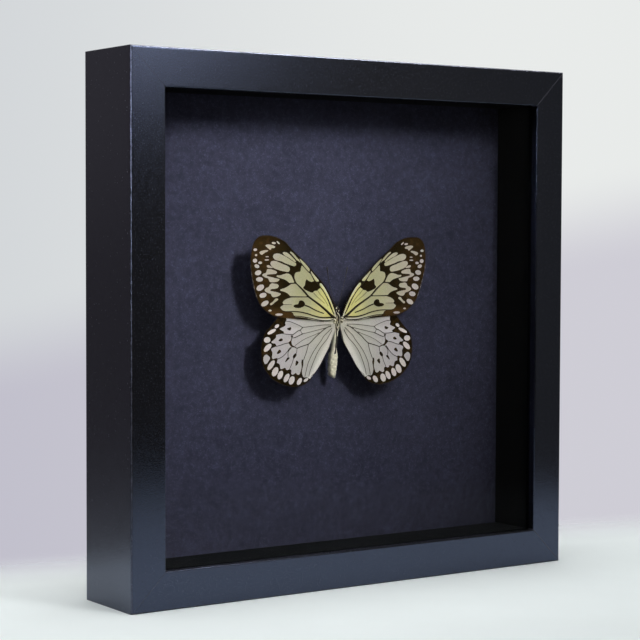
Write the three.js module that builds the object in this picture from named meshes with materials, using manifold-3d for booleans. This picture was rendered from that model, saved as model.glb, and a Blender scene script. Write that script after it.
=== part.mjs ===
// Framed butterfly specimen: a deep square box frame with one spread butterfly
// pinned in front of a dark card.
//
// Units are millimetres. +Z is up, +X is the viewer's right and +Y goes into the box.
// The origin is the middle of the frame's underside.

import * as THREE from 'three';
import { mergeVertices } from 'three/addons/utils/BufferGeometryUtils.js';
import Module from 'manifold-3d';

// ---------------------------------------------------------------- driving dimensions

// Frame moulding
const FRAME_SIZE = 250; // outside width and height
const FRAME_DEPTH = 43;
const FACE_WIDTH = 17.5; // width of the front face
const WALL = 12; // thickness of the rail behind its lip
const LIP = 4; // thickness of the lip in front of the pane
const FRONT_ARRIS = 1; // rounding along the outer front edge
const SIGHT_ARRIS = 0.6; // rounding along the inner front edge
const BACK_ARRIS = 0.8; // rounding along the outer back edge
const MITRE_GAP = 0.05; // each rail stops this short of the mitre plane

// What is stacked behind the lip, front to back, with the clearance between layers
const PANE = 2;
const LAYER_GAP = 0.25;
const BOARD_FACE = 31; // depth of the card's face behind the front of the frame
const BOARD = 1.5;
const FOAM = 5;
const BACK_PANEL = 3;
const SIDE_CLEARANCE = 0.25; // sheets are this much short of the rabbet on every side

// Fixings
const TAB = { width: 8, length: 14, thickness: 0.5, buried: 5, slotClearance: 0.125 };
const TAB_PLACES = [-55, 55]; // along each rail, from its middle
const V_NAIL = { leg: 7, thickness: 0.5, depth: 8, inset: 6, clearance: 0.125 };
const HANGER = {
  width: 46, height: 9, thickness: 0.75, lift: 0.75, pad: 8, below: 12, teeth: 9, toothDepth: 2,
};
const NAIL = { headRadius: 2, headThickness: 0.5, shankRadius: 0.75, buried: 2.25, clearance: 0.125 };

// Butterfly, measured from the middle of the frame
const WING_THICKNESS = 0.4;
const FOREWING = { standOff: 1.5, lean: 2.45, sweepBack: 0.68 }; // mm and degrees
const HINDWING = { standOff: 0.55, lean: -1.7, sweepBack: 0 };
// The right-hand wings are spread a little lower than the left-hand ones
const RIGHT_FOREWING_SET = { turn: 1.35, out: 0.1, up: 0.2 };
const RIGHT_HINDWING_SET = { turn: 2.6, out: 0.9, up: 0.2 };
const WING_HINGE = [3, 3];
const THORAX = { radii: [2.3, 2.6, 4.8], at: [-0.5, 0.6, 0.3] };
const HEAD = { radii: [1.5, 1.4, 1.5], at: [-0.5, 0, 6.1] };
const ABDOMEN = { start: -2.5, length: 24.6, droop: 2.9, drift: -0.3, frontY: 1.1 };
const ANTENNA = { length: 20.5, radius: 0.2, clubRadius: 0.42, lean: 15, curl: 3.2, root: [0.6, -0.5, 6.9] };
const PIN = { radius: 0.3, clearance: 0.15, front: 0.5, tip: 15, up: 0.5 };

// ---------------------------------------------------------------- derived places

const HALF = FRAME_SIZE / 2;
const FRONT_Y = -FRAME_DEPTH / 2;
const BACK_Y = FRAME_DEPTH / 2;
const CENTRE_Z = HALF;
const SIGHT_HALF = HALF - FACE_WIDTH;
const RABBET_HALF = HALF - WALL;
const SHEET_SIZE = 2 * (RABBET_HALF - SIDE_CLEARANCE);
const PANE_Y = FRONT_Y + LIP;
const SPACER_Y = PANE_Y + PANE + LAYER_GAP;
const BOARD_Y = FRONT_Y + BOARD_FACE;
const FOAM_Y = BOARD_Y + BOARD + LAYER_GAP;
const PANEL_Y = FOAM_Y + FOAM + LAYER_GAP;
const TAB_Y = PANEL_Y + BACK_PANEL + SIDE_CLEARANCE;
const HANGER_Y = PANEL_Y + BACK_PANEL + 0.05;

// ---------------------------------------------------------------- materials

function paint(color, roughness, metalness = 0) {
  return new THREE.MeshStandardMaterial({ color, roughness, metalness });
}
const blackMoulding = () => paint(0x1b1c24, 0.45);
const steel = () => paint(0xa8a9ac, 0.35, 1);

// ---------------------------------------------------------------- solids

const wasm = await Module();
wasm.setup();

const degrees = THREE.MathUtils.degToRad;

// Leaves only positions and welds them, so that a shape is one closed surface
function welded(geometry) {
  const bare = geometry.clone();
  bare.deleteAttribute('normal');
  bare.deleteAttribute('uv');
  return mergeVertices(bare, 1e-4);
}

function toSolid(geometry) {
  const shape = welded(geometry);
  return new wasm.Manifold(new wasm.Mesh({
    numProp: 3,
    vertProperties: new Float32Array(shape.attributes.position.array),
    triVerts: new Uint32Array(shape.index.array),
  }));
}

function toGeometry(solid) {
  const mesh = solid.getMesh();
  const geometry = new THREE.BufferGeometry();
  geometry.setAttribute('position', new THREE.BufferAttribute(new Float32Array(mesh.vertProperties), 3));
  geometry.setIndex(new THREE.BufferAttribute(new Uint32Array(mesh.triVerts), 1));
  geometry.computeVertexNormals();
  return geometry;
}

function cut(geometry, tools) {
  const solid = tools.reduce((rest, tool) => rest.subtract(toSolid(tool)), toSolid(geometry));
  return toGeometry(solid);
}

function join(geometries) {
  return toGeometry(geometries.map(toSolid).reduce((whole, piece) => whole.add(piece)));
}

// A block given by its low and high corners
function block(low, high) {
  const size = high.map((value, axis) => value - low[axis]);
  const middle = high.map((value, axis) => (value + low[axis]) / 2);
  return new THREE.BoxGeometry(...size).translate(...middle);
}

// A rod along Y
function rod(radius, fromY, toY, x, z, sides = 12) {
  return new THREE.CylinderGeometry(radius, radius, toY - fromY, sides).translate(x, (fromY + toY) / 2, z);
}

const group = new THREE.Group();

function addMesh(name, geometry, material, parent = group) {
  const mesh = new THREE.Mesh(geometry, material);
  mesh.name = name;
  parent.add(mesh);
  return mesh;
}

// ---------------------------------------------------------------- frame rails

// Section of the moulding: x is the distance in from the outside, y the depth from the front
function railSection() {
  const section = new THREE.Shape();
  section.moveTo(0, FRONT_ARRIS);
  section.absarc(FRONT_ARRIS, FRONT_ARRIS, FRONT_ARRIS, Math.PI, 1.5 * Math.PI, false);
  section.lineTo(FACE_WIDTH - SIGHT_ARRIS, 0);
  section.absarc(FACE_WIDTH - SIGHT_ARRIS, SIGHT_ARRIS, SIGHT_ARRIS, 1.5 * Math.PI, 2 * Math.PI, false);
  section.lineTo(FACE_WIDTH, LIP);
  section.lineTo(WALL, LIP);
  section.lineTo(WALL, FRAME_DEPTH);
  section.lineTo(BACK_ARRIS, FRAME_DEPTH);
  section.absarc(BACK_ARRIS, FRAME_DEPTH - BACK_ARRIS, BACK_ARRIS, 0.5 * Math.PI, Math.PI, false);
  return section;
}

// A rail lies along X with its outer face down at z = 0 in its own frame. Each end is
// mitred: it runs in by as much as the point lies in from the outside of the frame.
function railGeometry() {
  const plainBar = { depth: 2, bevelEnabled: false, curveSegments: 5 };
  const geometry = new THREE.ExtrudeGeometry(railSection(), plainBar);
  const place = geometry.attributes.position;
  for (let i = 0; i < place.count; i += 1) {
    const inward = place.getX(i);
    const depth = place.getY(i);
    const side = place.getZ(i) > 1 ? -1 : 1;
    place.setXYZ(i, side * (HALF - inward - MITRE_GAP), FRONT_Y + depth, inward);
  }
  return geometry;
}

// The rails turn about the middle of the frame, so each is the bottom rail turned on Y
const RAIL_SIDES = [
  { name: 'bottom', turn: 0 },
  { name: 'left', turn: 0.5 * Math.PI },
  { name: 'top', turn: Math.PI },
  { name: 'right', turn: -0.5 * Math.PI },
];

function tabBlock(alongX, grow) {
  const halfWidth = TAB.width / 2 + grow;
  const buriedEnd = WALL - TAB.buried - grow;
  const freeEnd = WALL - TAB.buried + TAB.length + grow;
  return block(
    [alongX - halfWidth, TAB_Y - grow, buriedEnd],
    [alongX + halfWidth, TAB_Y + TAB.thickness + grow, freeEnd],
  );
}

// A V-nail stands across the mitre, with its point towards the outer corner
function vNail(grow) {
  const half = V_NAIL.thickness / 2 + grow;
  const leg = V_NAIL.leg + grow;
  const shape = new THREE.Shape([
    new THREE.Vector2(-half, -half),
    new THREE.Vector2(leg, -half),
    new THREE.Vector2(leg, half),
    new THREE.Vector2(half, half),
    new THREE.Vector2(half, leg),
    new THREE.Vector2(-half, leg),
  ]);
  const depth = V_NAIL.depth + grow;
  const corner = -HALF + V_NAIL.inset;
  return new THREE.ExtrudeGeometry(shape, { depth, bevelEnabled: false })
    .rotateX(0.5 * Math.PI)
    .translate(corner, BACK_Y - 0.25 + grow, V_NAIL.inset);
}

// The same V-nail at the other end of a rail
function vNailAtRight(grow) {
  return vNail(grow).translate(0, 0, -CENTRE_Z).rotateY(-0.5 * Math.PI).translate(0, 0, CENTRE_Z);
}

const BACK_CUT = 0.5; // tools that cut a face open run this far past it
const vNailCuts = [vNail(V_NAIL.clearance), vNailAtRight(V_NAIL.clearance)]
  .map((tool) => join([tool, tool.clone().translate(0, BACK_CUT, 0)]));
const railBody = cut(railGeometry(), [
  ...TAB_PLACES.map((place) => tabBlock(place, TAB.slotClearance)),
  ...vNailCuts,
]);
const tabSides = ['left', 'right'];

for (const side of RAIL_SIDES) {
  const turned = new THREE.Group();
  turned.position.z = CENTRE_Z;
  turned.rotation.y = side.turn;
  group.add(turned);
  addMesh(`rail_${side.name}`, railBody.clone().translate(0, 0, -CENTRE_Z), blackMoulding(), turned);
  TAB_PLACES.forEach((place, i) => {
    const tab = tabBlock(place, 0).translate(0, 0, -CENTRE_Z);
    addMesh(`tab_${side.name}_${tabSides[i]}`, tab, steel(), turned);
  });
}

const CORNERS = [
  { name: 'bottom_left', turn: 0 },
  { name: 'top_left', turn: 0.5 * Math.PI },
  { name: 'top_right', turn: Math.PI },
  { name: 'bottom_right', turn: -0.5 * Math.PI },
];
for (const corner of CORNERS) {
  const nail = addMesh(`v_nail_${corner.name}`, vNail(0).translate(0, 0, -CENTRE_Z), steel());
  nail.position.z = CENTRE_Z;
  nail.rotation.y = corner.turn;
}

// ---------------------------------------------------------------- pane, lining and back

function sheet(name, frontY, thickness, material, holes = []) {
  const half = SHEET_SIZE / 2;
  const plain = block([-half, frontY, CENTRE_Z - half], [half, frontY + thickness, CENTRE_Z + half]);
  return addMesh(name, holes.length ? cut(plain, holes) : plain, material);
}

const pinZ = CENTRE_Z + PIN.up;
const pinX = THORAX.at[0];

function pinRod(grow, backY = PIN.tip + grow) {
  return rod(PIN.radius + grow, PIN.front - grow, backY, pinX, pinZ, 8);
}

const glass = paint(0xe8eef0, 0.03);
glass.transparent = true;
glass.opacity = 0.15;
sheet('glass_pane', PANE_Y, PANE, glass);
sheet('mount_board', BOARD_Y, BOARD, paint(0x2e3040, 0.85), [pinRod(PIN.clearance)]);
sheet('foam_sheet', FOAM_Y, FOAM, paint(0xe9e8e2, 0.8), [pinRod(PIN.clearance)]);

// Lining strips: the top and bottom ones run right across, the side ones stand between them
const STRIP = RABBET_HALF - SIDE_CLEARANCE - SIGHT_HALF;
const stripBack = BOARD_Y - LAYER_GAP;
const stripHalf = SHEET_SIZE / 2;
const standing = SIGHT_HALF - 0.05;
for (const [name, low, high] of [
  ['spacer_bottom', [-stripHalf, -stripHalf], [stripHalf, -SIGHT_HALF]],
  ['spacer_top', [-stripHalf, SIGHT_HALF], [stripHalf, stripHalf]],
  ['spacer_left', [-SIGHT_HALF - STRIP, -standing], [-SIGHT_HALF, standing]],
  ['spacer_right', [SIGHT_HALF, -standing], [SIGHT_HALF + STRIP, standing]],
]) {
  const strip = block([low[0], SPACER_Y, CENTRE_Z + low[1]], [high[0], stripBack, CENTRE_Z + high[1]]);
  addMesh(name, strip, paint(0x0e0f14, 0.6));
}

// ---------------------------------------------------------------- back panel and hanger

const hangerZ = CENTRE_Z + RABBET_HALF - HANGER.below;
const nailPlaces = [-1, 1].map((side) => side * (HANGER.width - HANGER.pad) / 2);

// The hanger is a strip with flat ends and a raised middle, toothed along its lower edge
function hangerGeometry() {
  const halfWidth = HANGER.width / 2;
  const inner = halfWidth - HANGER.pad;
  const rise = inner - HANGER.lift;
  const back = HANGER.thickness;
  const raised = HANGER.lift;
  const strip = new THREE.Shape([
    new THREE.Vector2(-halfWidth, 0), new THREE.Vector2(-inner, 0),
    new THREE.Vector2(-rise, raised), new THREE.Vector2(rise, raised),
    new THREE.Vector2(inner, 0), new THREE.Vector2(halfWidth, 0),
    new THREE.Vector2(halfWidth, back), new THREE.Vector2(inner, back),
    new THREE.Vector2(rise, raised + back), new THREE.Vector2(-rise, raised + back),
    new THREE.Vector2(-inner, back), new THREE.Vector2(-halfWidth, back),
  ]);
  const plain = new THREE.ExtrudeGeometry(strip, { depth: HANGER.height, bevelEnabled: false })
    .translate(0, HANGER_Y, hangerZ - HANGER.height / 2);
  const pitch = (2 * rise - 2) / HANGER.teeth;
  const notches = Array.from({ length: HANGER.teeth }, (_, i) => {
    const middle = (i - (HANGER.teeth - 1) / 2) * pitch;
    const notch = new THREE.Shape([
      new THREE.Vector2(middle - 0.42 * pitch, -1),
      new THREE.Vector2(middle + 0.42 * pitch, -1),
      new THREE.Vector2(middle, HANGER.toothDepth),
    ]);
    return new THREE.ExtrudeGeometry(notch, { depth: 4, bevelEnabled: false })
      .rotateX(0.5 * Math.PI)
      .translate(0, HANGER_Y + 3, hangerZ - HANGER.height / 2);
  });
  const holeRadius = NAIL.shankRadius + NAIL.clearance;
  const holes = nailPlaces.map((x) => rod(holeRadius, HANGER_Y - 1, HANGER_Y + 2, x, hangerZ, 10));
  return cut(plain, [...notches, ...holes]);
}

function nailGeometry(x) {
  const headY = HANGER_Y + HANGER.thickness + 0.05;
  const shankStart = PANEL_Y + BACK_PANEL - NAIL.buried;
  return join([
    rod(NAIL.headRadius, headY, headY + NAIL.headThickness, x, hangerZ, 16),
    rod(NAIL.shankRadius, shankStart, headY + NAIL.headThickness / 2, x, hangerZ, 10),
  ]);
}

const panelHoles = nailPlaces.map((x) => rod(
  NAIL.shankRadius + NAIL.clearance,
  PANEL_Y + BACK_PANEL - NAIL.buried - NAIL.clearance,
  PANEL_Y + BACK_PANEL + 1, x, hangerZ, 10,
));
sheet('back_panel', PANEL_Y, BACK_PANEL, paint(0x7a5a3c, 0.8), panelHoles);
addMesh('sawtooth_hanger', hangerGeometry(), paint(0xb59a5a, 0.35, 1));
nailPlaces.forEach((x, i) => addMesh(`hanger_nail_${tabSides[i]}`, nailGeometry(x), steel()));

// ---------------------------------------------------------------- wings

// Outlines run round the left-hand wing seen from the front: the first number is the
// distance out from the body's middle line, the second the height above the frame's middle.
const FOREWING_OUTLINE = [
  [3.1, 1.3], [2.9, 3.6], [2.9, 6.6], [3.7, 9.6], [6.0, 14.0], [9.0, 18.0], [13.0, 22.1], [17.2, 26.1],
  [21.8, 30.1], [26.9, 34.3], [32.0, 38.4], [37.0, 41.0], [42.0, 42.0], [46.2, 41.5], [49.0, 39.4],
  [50.5, 35.6], [50.9, 30.2], [50.2, 24.2], [48.6, 17.6], [46.4, 11.6], [43.6, 8.0], [40.0, 5.4],
  [36.0, 3.8], [31.0, 3.1], [25.0, 3.3], [19.0, 2.7], [13.0, 1.5], [7.0, 0.9],
];
const HINDWING_OUTLINE = [
  [3.1, -2.4], [3.0, 0.6], [6.0, 4.2], [12.0, 6.4], [20.0, 7.0], [28.0, 6.3], [33.6, 4.2], [37.0, 0.8],
  [40.5, -2.4], [42.9, -6.4], [43.8, -11.2], [43.4, -17.0], [41.2, -21.6], [37.6, -25.2], [33.0, -27.8],
  [28.0, -29.4], [23.0, -29.7], [18.6, -28.6], [15.6, -26.2], [12.6, -22.4], [9.6, -18.2], [7.2, -14.2],
  [5.2, -9.6], [4.0, -6.0],
];

// Turns an outline point about the wing's hinge, then shifts it
function setPoint([out, up], set) {
  const angle = degrees(set.turn);
  const [hingeOut, hingeUp] = WING_HINGE;
  const du = out - hingeOut;
  const dv = up - hingeUp;
  return [
    hingeOut + du * Math.cos(angle) + dv * Math.sin(angle) + set.out,
    hingeUp - du * Math.sin(angle) + dv * Math.cos(angle) + set.up,
  ];
}

function wing(name, outline, side, set, pose, color) {
  const points = outline.map((point) => {
    const [out, up] = setPoint(point, set);
    return new THREE.Vector2(side * out, up);
  });
  const shape = new THREE.Shape();
  shape.moveTo(points[0].x, points[0].y);
  shape.splineThru([...points.slice(1), points[0]]);
  const flatPlate = { depth: WING_THICKNESS, bevelEnabled: false, curveSegments: 2 };
  const geometry = new THREE.ExtrudeGeometry(shape, flatPlate)
    .rotateX(0.5 * Math.PI)
    .translate(0, WING_THICKNESS / 2, 0);
  const mesh = addMesh(name, geometry, paint(color, 0.7));
  mesh.position.set(0, -pose.standOff, CENTRE_Z);
  mesh.rotation.set(degrees(pose.lean), 0, side * degrees(pose.sweepBack));
}

const AS_DRAWN = { turn: 0, out: 0, up: 0 };
wing('forewing_left', FOREWING_OUTLINE, -1, AS_DRAWN, FOREWING, 0xb9b48a);
wing('forewing_right', FOREWING_OUTLINE, 1, RIGHT_FOREWING_SET, FOREWING, 0xb9b48a);
wing('hindwing_left', HINDWING_OUTLINE, -1, AS_DRAWN, HINDWING, 0xbdbab2);
wing('hindwing_right', HINDWING_OUTLINE, 1, RIGHT_HINDWING_SET, HINDWING, 0xbdbab2);

// ---------------------------------------------------------------- body, antennae and pin

// A ball of the given radii, placed from the middle of the frame
function egg({ radii, at }) {
  return new THREE.SphereGeometry(1, 16, 12)
    .scale(...radii)
    .translate(at[0], at[1], CENTRE_Z + at[2]);
}

// Half width of the abdomen along its length: slim in front, full behind, blunt at the tip
const ABDOMEN_PROFILE = [
  [0, 0], [1.5, 0], [1.45, 0.16], [1.35, 0.32], [1.55, 0.48], [1.85, 0.62],
  [2.0, 0.76], [1.9, 0.88], [1.35, 0.96], [0, 1],
];

// The abdomen hangs away from the wings, so it bends back and a little to the left
function abdomenGeometry() {
  const profile = ABDOMEN_PROFILE
    .map(([radius, along]) => new THREE.Vector2(radius, -along * ABDOMEN.length))
    .reverse();
  const geometry = new THREE.LatheGeometry(profile, 14);
  const place = geometry.attributes.position;
  for (let i = 0; i < place.count; i += 1) {
    const along = -place.getY(i) / ABDOMEN.length;
    place.setXYZ(
      i,
      place.getX(i) + THORAX.at[0] + ABDOMEN.drift * along,
      -place.getZ(i) + ABDOMEN.frontY + ABDOMEN.droop * along ** 1.5,
      CENTRE_Z + ABDOMEN.start + place.getY(i),
    );
  }
  return geometry;
}

const plainBody = join([egg(THORAX), egg(HEAD), abdomenGeometry()]);
const bodyGeometry = cut(plainBody, [pinRod(PIN.clearance, THORAX.radii[1] + 3)]);
addMesh('butterfly_body', bodyGeometry, paint(0xcfc9b2, 0.8));
addMesh('mounting_pin', pinRod(0), steel());

// A slim rod that thickens into a club, leaning out from the head and curling in slightly
function antennaGeometry(side) {
  const { length, radius, clubRadius } = ANTENNA;
  const profile = [
    [0, 0], [radius, 0], [radius, 0.25 * length], [radius, 0.5 * length], [radius, 0.72 * length],
    [1.4 * radius, 0.82 * length], [clubRadius, 0.92 * length], [clubRadius, 0.97 * length], [0, length],
  ].map(([r, along]) => new THREE.Vector2(r, along));
  const geometry = new THREE.LatheGeometry(profile, 8);
  const place = geometry.attributes.position;
  for (let i = 0; i < place.count; i += 1) {
    const along = place.getY(i) / length;
    place.setXYZ(i, place.getX(i) + side * ANTENNA.curl * along * (1 - along), -place.getZ(i), place.getY(i));
  }
  return geometry;
}

for (const [name, side] of [['antenna_left', -1], ['antenna_right', 1]]) {
  const antenna = addMesh(name, antennaGeometry(side), paint(0x15120f, 0.5));
  const [out, y, up] = ANTENNA.root;
  antenna.position.set(HEAD.at[0] + side * out, y, CENTRE_Z + up + 0.7);
  antenna.rotation.y = side * degrees(ANTENNA.lean);
}

export default group;
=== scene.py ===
import math

import bpy
import numpy as np
from mathutils import Matrix, Vector
from mathutils.geometry import delaunay_2d_cdt


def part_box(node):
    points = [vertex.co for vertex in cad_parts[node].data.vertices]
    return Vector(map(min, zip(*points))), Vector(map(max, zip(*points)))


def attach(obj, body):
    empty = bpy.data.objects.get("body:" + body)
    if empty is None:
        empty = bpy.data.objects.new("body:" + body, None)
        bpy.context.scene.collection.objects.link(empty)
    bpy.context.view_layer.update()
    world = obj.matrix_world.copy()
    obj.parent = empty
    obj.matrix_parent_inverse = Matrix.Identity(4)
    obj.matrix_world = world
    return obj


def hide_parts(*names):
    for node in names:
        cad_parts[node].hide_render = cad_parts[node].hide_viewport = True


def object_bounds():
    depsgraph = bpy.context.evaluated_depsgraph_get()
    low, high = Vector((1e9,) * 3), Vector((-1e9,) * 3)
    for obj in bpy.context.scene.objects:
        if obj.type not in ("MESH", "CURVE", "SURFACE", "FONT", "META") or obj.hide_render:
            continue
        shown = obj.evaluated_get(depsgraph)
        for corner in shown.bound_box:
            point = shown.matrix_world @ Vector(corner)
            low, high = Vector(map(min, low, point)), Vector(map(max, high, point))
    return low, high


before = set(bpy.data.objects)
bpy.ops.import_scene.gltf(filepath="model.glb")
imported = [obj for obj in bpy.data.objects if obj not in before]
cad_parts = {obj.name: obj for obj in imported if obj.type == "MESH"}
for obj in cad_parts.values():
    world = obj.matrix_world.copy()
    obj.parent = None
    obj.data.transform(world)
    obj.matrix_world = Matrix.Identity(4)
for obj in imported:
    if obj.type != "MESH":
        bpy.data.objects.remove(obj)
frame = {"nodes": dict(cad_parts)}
CAD_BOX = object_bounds()

bl_info = {
    "name": "Framed Butterfly Specimen",
    "version": (1, 0, 0),
    "blender": (4, 5, 0),
    "location": "3D View > Sidebar > Specimen",
    "description": "Finishes a black box frame and the spread butterfly that is pinned inside it",
    "category": "Object",
}

# ------------------------------------------------------------------ sizes, in millimetres

MM = 0.001
BODY = "root"
CENTRE_Z = 1000 * (CAD_BOX[0].z + CAD_BOX[1].z) / 2
HALF_FRAME = 1000 * CAD_BOX[1].x
FRONT_Y = 1000 * CAD_BOX[0].y

SHEET_STEP = 0.34  # spacing of the points that a wing's surface is meshed with
MEMBRANE = 0.11  # thickness of a wing
FAR = 1.5  # a marking's edge further off than this makes no difference
FRINGE_STEP = 0.13  # spacing of the scales along a wing's edge
FRINGE_START = 9  # no fringe nearer to the body than this
FAINT_VEIN = 0.5  # a vein paler than this is only coloured, not raised
RAISED_SHARE = 0.75  # how much of a vein's drawn width is raised
UNDERLAP = 0.3  # how far the middle of a hindwing lies behind the middle of the forewing over it

# How each wing is set. A wing is drawn in its own plane: out from the body, up from the hinge line.
# "unfold" is how far the inner margin is drawn in towards the body.
HINGE = (3.0, 3.0)
FORE_LEFT = {"side": -1, "turn": 0.0, "out": 0.0, "up": 0.0}
FORE_RIGHT = {"side": 1, "turn": 1.355, "out": 0.09, "up": 0.2}
HIND_LEFT = {"side": -1, "turn": 0.0, "out": 0.0, "up": 0.0}
HIND_RIGHT = {"side": 1, "turn": 2.64, "out": 0.6, "up": 0.19, "unfold": 1.6}

# ------------------------------------------------------------------ forewing drawing

FOREWING_EDGE = [
    (2.7, 8), (3.8, 10), (4.9, 12), (6, 14), (7.6, 16), (9, 18), (10.9, 20), (13, 22), (15.2, 24),
    (17.2, 26), (19.5, 28), (21.8, 30), (24.2, 32), (26.9, 34), (29.3, 36), (32, 38.8), (34, 39.8),
    (36, 40.7), (38, 41.3), (40, 41.7), (42, 41.9), (44, 41.9), (46, 41.6), (47.5, 40.9), (48.8, 39.7),
    (49.7, 38.2), (50.3, 36.3), (50.7, 34), (50.9, 31.5), (50.8, 27), (50.3, 24.5), (49.8, 22),
    (49.2, 19.8), (48.6, 17.6), (47.9, 15.5), (47.2, 13.5), (46.3, 11.4), (45, 9.5), (43.6, 8.1),
    (41.8, 6.6), (40, 5.5), (38, 4.5), (36, 3.9), (34, 3.4), (31, 3.1), (28, 3.2), (25, 3.35),
    (22, 3.1), (19, 2.7), (16, 2.1), (13, 1.5), (10, 1.05), (7, 0.8), (4.5, 0.9), (2.2, 1.4), (1.6, 2.4),
    (1.8, 5),
]
# Pale areas inside the dark outer half, each as a closed line
FORE_BASE = [
    (1.4, 1.4), (1.9, 3), (2.9, 4.4), (4.7, 6.7), (5.8, 8.8), (6.8, 10.9), (8.2, 13), (10, 15.6),
    (11.6, 17.2), (14.8, 20.6), (15.8, 21.8), (17.4, 23.9), (18.5, 24.6), (20.5, 26.3), (22.6, 28.2),
    (25, 27.5), (26.6, 23), (26.3, 20.9), (25.3, 19.4), (22, 16.6), (19.2, 14.3), (18.6, 12.9), (22, 12.8),
    (27.4, 12.9), (28.8, 12.5), (30.4, 12.1), (31.9, 11.4), (32.8, 10.4), (32.3, 9.6), (32.2, 9.2),
    (33.2, 8.8), (34, 8.1), (33.5, 7.4), (32.6, 6.6), (31.4, 6.3), (30, 6.1), (28, 5.9), (26.8, 5.3),
    (26.4, 4.6), (26.2, 4.0), (25.5, 3.55), (25, 3.1), (22, 2.85), (19, 2.45), (16, 1.85), (13, 1.25),
    (10, 0.8), (7, 0.5), (4.5, 0.6),
]
FORE_PALE = {
    "K": [(39.8, 9.6), (39.2, 9.2), (38.3, 9.5), (37, 10.6), (35.6, 11.4), (35.1, 12), (35.8, 12.4),
          (36.8, 12.3), (37.6, 11.4), (38.4, 10.6), (39.4, 10.2)],
    "S17": [(46.4, 34.1), (45.8, 33.3), (44.9, 33), (44.2, 33.4), (43.2, 34.1), (42.2, 34.4),
            (41.4, 34.8), (41.8, 35.2), (43.2, 35.2), (44.8, 34.9), (45.8, 34.6)],
    "S19": [(43.2, 37.4), (42.4, 37.8), (40.8, 37.8), (39.2, 37.5), (37.9, 37), (37.6, 36.6),
            (38.3, 36.1), (39.6, 36.2), (40.1, 35.4), (40.6, 35.3), (41.4, 36), (42.4, 36.7)],
    "M": [(43.1, 16.4), (42.3, 17.3), (40.6, 17.9), (40, 19), (39.2, 19.6), (37.4, 19.4), (35.7, 19.1),
          (35.1, 18.3), (35.7, 17.3), (37.2, 17), (39, 16.9), (39.9, 16.5), (39.6, 15.9), (37.5, 15.6),
          (35.5, 15.2), (33.6, 14.5), (35, 13.5), (36.8, 13), (38.3, 13), (38.9, 13.6), (39.4, 14.6),
          (41, 15), (42.4, 15.6)],
    "N": [(44.6, 23.4), (44, 24.1), (42.3, 24.5), (42, 25.6), (41.7, 26.3), (40, 26.2), (38.3, 25.9),
          (36.8, 25.3), (36.2, 24.7), (36.8, 24), (38.5, 23.9), (41, 23.8), (42.2, 23.4), (41.5, 22.9),
          (39.4, 22.5), (37.3, 22), (35.6, 21.7), (34.7, 21.4), (35.2, 20.8), (36.2, 20.2), (38.5, 20),
          (40.2, 20.2), (40.6, 21), (41, 21.9), (43, 22.4)],
    "O1": [(38.9, 32.2), (38.3, 33.3), (36.6, 33.7), (34.5, 33.3), (32, 32.2), (30, 31.2), (28, 30.1),
           (26.5, 29.3), (25.6, 28.8), (25.6, 28), (26.6, 27.4), (28, 27.8), (30, 28.4), (32, 29),
           (34, 29.9), (36, 30.2), (37.3, 30.5), (38.2, 31.1)],
    "O2": [(33.6, 33.9), (32.8, 34.3), (31, 34), (29.6, 33.2), (28, 31.9), (26.6, 30.7), (25.7, 29.7),
           (26.2, 29.3), (27.8, 30.4), (29.6, 31.4), (31.4, 32.2), (32.8, 33)],
    "O3": [(29.5, 34.2), (28.7, 34.5), (27.3, 33.6), (25.8, 32.2), (24.4, 30.8), (23.2, 29.2),
           (22.9, 28.5), (23.8, 28.7), (25, 30), (26.6, 31.6), (28.4, 33.3)],
    "O4": [(23.9, 31.2), (22.6, 30.4), (20.5, 28.6), (18.4, 26.6), (17.7, 25.2), (18.4, 24.8),
           (20, 26.2), (21.6, 27.8), (22.8, 29.2), (23.8, 30.4)],
    "O5": [(17.4, 25.4), (16, 24), (14.2, 22.3), (12.6, 20.7), (12.5, 20.1), (13.6, 20), (14.8, 20.5),
           (16, 22.4), (17.2, 24.2)],
    "O6": [(11.9, 19.2), (11, 19.2), (9, 17), (7.2, 14.4), (5.6, 11.6), (4.2, 8.8), (2.9, 6), (1.9, 3),
           (2.6, 3.2), (4.2, 6.6), (5.2, 8.9), (6.5, 11.4), (8.2, 13.8), (9.8, 16), (12, 18.2)],
    "S1": [(40.2, 28.9), (39.7, 29.9), (38.4, 30.2), (36.6, 29.9), (34.5, 29.1), (32.3, 28.3),
           (30.2, 27.6), (29.2, 26.8), (29.1, 25.8), (29.6, 25), (30.6, 24.8), (32, 25.1), (34, 25.4),
           (36, 26), (38, 26.6), (39.6, 27.9)],
    "S1b": [(42.3, 27.9), (41.4, 28.2), (40.4, 27.9), (39, 27.2), (38.2, 26.8), (40, 26.75), (41.6, 26.9)],
    "T1": [(36.6, 22.9), (36.2, 23.3), (34.4, 23.2), (32.8, 23.7), (31.2, 24.1), (29.6, 24), (28.3, 23.2),
           (27.6, 22), (26.9, 20.6), (26.4, 19.8), (27.6, 19.7), (29.3, 19.6), (30.2, 20.3), (31.4, 21.1),
           (33, 21.6), (34.6, 22), (36, 22.4)],
    "U1": [(34.6, 16.3), (33.6, 16.8), (32, 17.1), (30.4, 17.8), (29, 18.6), (28, 19.1), (26.4, 19.2),
           (25.2, 19), (24, 17.8), (22, 16), (20, 14), (18.9, 13.1), (22, 13.1), (26, 13.2), (28.6, 13.3),
           (29.4, 14.2), (30.6, 15), (32.4, 15.6), (33.8, 15.9)],
}
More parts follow.
